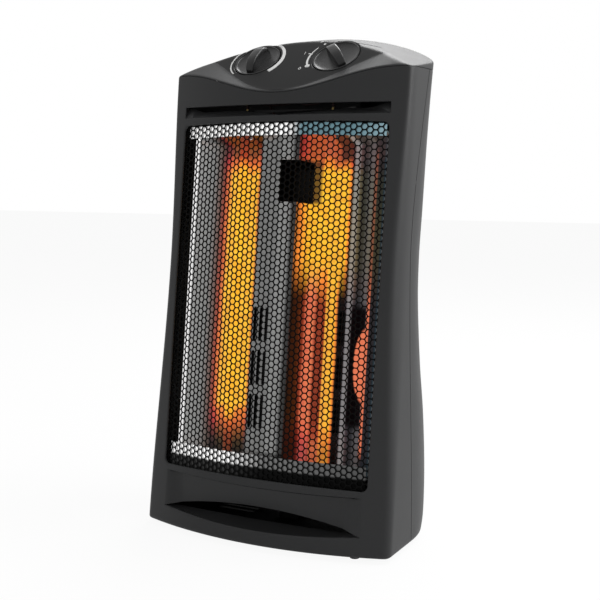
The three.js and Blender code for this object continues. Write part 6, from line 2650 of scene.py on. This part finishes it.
@dataclass
class Studio:
    """A plain pale floor, soft light and the photograph's viewpoint."""

    focal: float = 64.75
    camera_place: tuple[float, float, float] = (609.3, -1027.4, 430.7)
    gaze: tuple[float, float, float] = (-0.4632, 0.8784, -0.1182)
    sensor: float = 36.0
    lamp_aim: tuple[float, float, float] = (0.0, 0.0, 0.3)
    ambient: float = 0.33
    floor_reach: float = 8.0
    floor_tone: float = 0.92
    floor_glow: float = 0.93

    def camera(self) -> None:
        """Places the camera."""
        data = bpy.data.cameras.new("camera")
        data.lens, data.sensor_width = self.focal, self.sensor
        item = scene_object("camera", data)
        x, y, z = self.camera_place
        item.location = (x * MM, (y - SHIFT) * MM, z * MM)
        item.rotation_euler = Vector(self.gaze).to_track_quat("-Z", "Y").to_euler()
        bpy.context.scene.camera = item

    def lamp(self, name: str, place: tuple[float, float, float], size: float, power: float) -> None:
        """Adds a soft lamp that faces the heater.

        Args:
            name: Its name.
            place: Where it hangs, in metres.
            size: The side of its square face, in metres.
            power: Its power in watts.
        """
        data = bpy.data.lights.new(name, "AREA")
        data.size, data.energy = size, power
        item = scene_object(name, data)
        item.location = place
        item.rotation_euler = (Vector(self.lamp_aim) - Vector(place)).to_track_quat("-Z", "Y").to_euler()

    def world(self) -> None:
        """A white surround for the camera and reflections, a plainer level for lighting."""
        world = bpy.data.worlds.new("surround")
        bpy.context.scene.world = world
        world.use_nodes = True
        graph = Graph(world.node_tree)
        shade = graph.seen_plainly() * (1.0 - self.ambient) + self.ambient
        inputs = {"Color": padded_colour(WHITE), "Strength": shade}
        surround = graph.node("ShaderNodeBackground", {}, inputs).out(0)
        graph.node("ShaderNodeOutputWorld", {}, {"Surface": surround})

    def floor(self) -> None:
        """A pale floor that keeps the heater's shadow."""
        reach = self.floor_reach
        corners = [(-reach, -reach, 0), (reach, -reach, 0), (reach, reach, 0), (-reach, reach, 0)]
        item = scene_object("floor", raw_mesh("floor", corners, [(0, 1, 2, 3)]))
        material = bpy.data.materials.new("pale_floor")
        material.use_nodes = True
        graph = Graph(material.node_tree)
        share = graph.seen_plainly() * self.floor_glow
        tone = padded_colour(grey(self.floor_tone))
        matte = graph.node("ShaderNodeBsdfDiffuse", {}, {"Color": tone}).out(0)
        white = graph.node("ShaderNodeEmission", {}, {"Color": padded_colour(WHITE), "Strength": 1.0}).out(0)
        mix = graph.node("ShaderNodeMixShader", {}, {0: share, 1: matte, 2: white}).out(0)
        graph.node("ShaderNodeOutputMaterial", {}, {"Surface": mix})
        item.data.materials.append(material)

    def build(self) -> None:
        """Sets up the surround, the floor and the lamps."""
        bpy.context.scene.view_settings.view_transform = "Standard"
        self.world()
        self.floor()
        self.lamp("right", (2.2, 0.9, 1.2), 1.4, 34.0)
        self.lamp("top", (1.0, 0.3, 2.2), 1.2, 26.0)
        self.lamp("back", (-0.3, 1.5, 2.0), 1.0, 21.0)


# Carried-over nodes


def dress_cad_nodes() -> None:
    """Gives every CAD node that is still shown the finish of its slot."""
    special = {"heat_shield": SOOTED_STEEL}
    slots = {part["node"]: Slot(part["material_slot"]) for part in frame["record"]["subparts"]}
    shown = [name for name, node in frame["nodes"].items() if not node.hide_render]
    for name in shown:
        materials = frame["nodes"][name].data.materials
        materials.clear()
        materials.append(PAINTS.get(special.get(name, Paints.BY_SLOT[slots[name]])))
    log.info("dressed %d carried-over nodes", len(shown))


def main() -> None:
    """Builds the scene in order."""
    logging.basicConfig(level=logging.INFO, format="%(name)s %(message)s")
    studio = Studio()
    studio.camera()
    panel = ControlPanel()
    Shells().build(panel)
    panel.build()
    Knob("thermostat_knob", -1, -5.0, Body.THERMOSTAT, panel).build()
    Knob("selector_knob", 1, 40.0, Body.SELECTOR, panel).build()
    grille = HoneycombGrille()
    grille.build()
    Reflector().build()
    EndPlates(grille).build()
    QuartzElement("left", -57.0, HOT_QUARTZ, HOT_WIRE).build()
    QuartzElement("right", 57.0, DULL_QUARTZ, DULL_WIRE).build()
    for node in frame["nodes"]:
        if node.startswith("rubber_foot"):
            RubberFoot(node).build()
    dress_cad_nodes()
    studio.build()


if __name__ == "__main__":
    main()
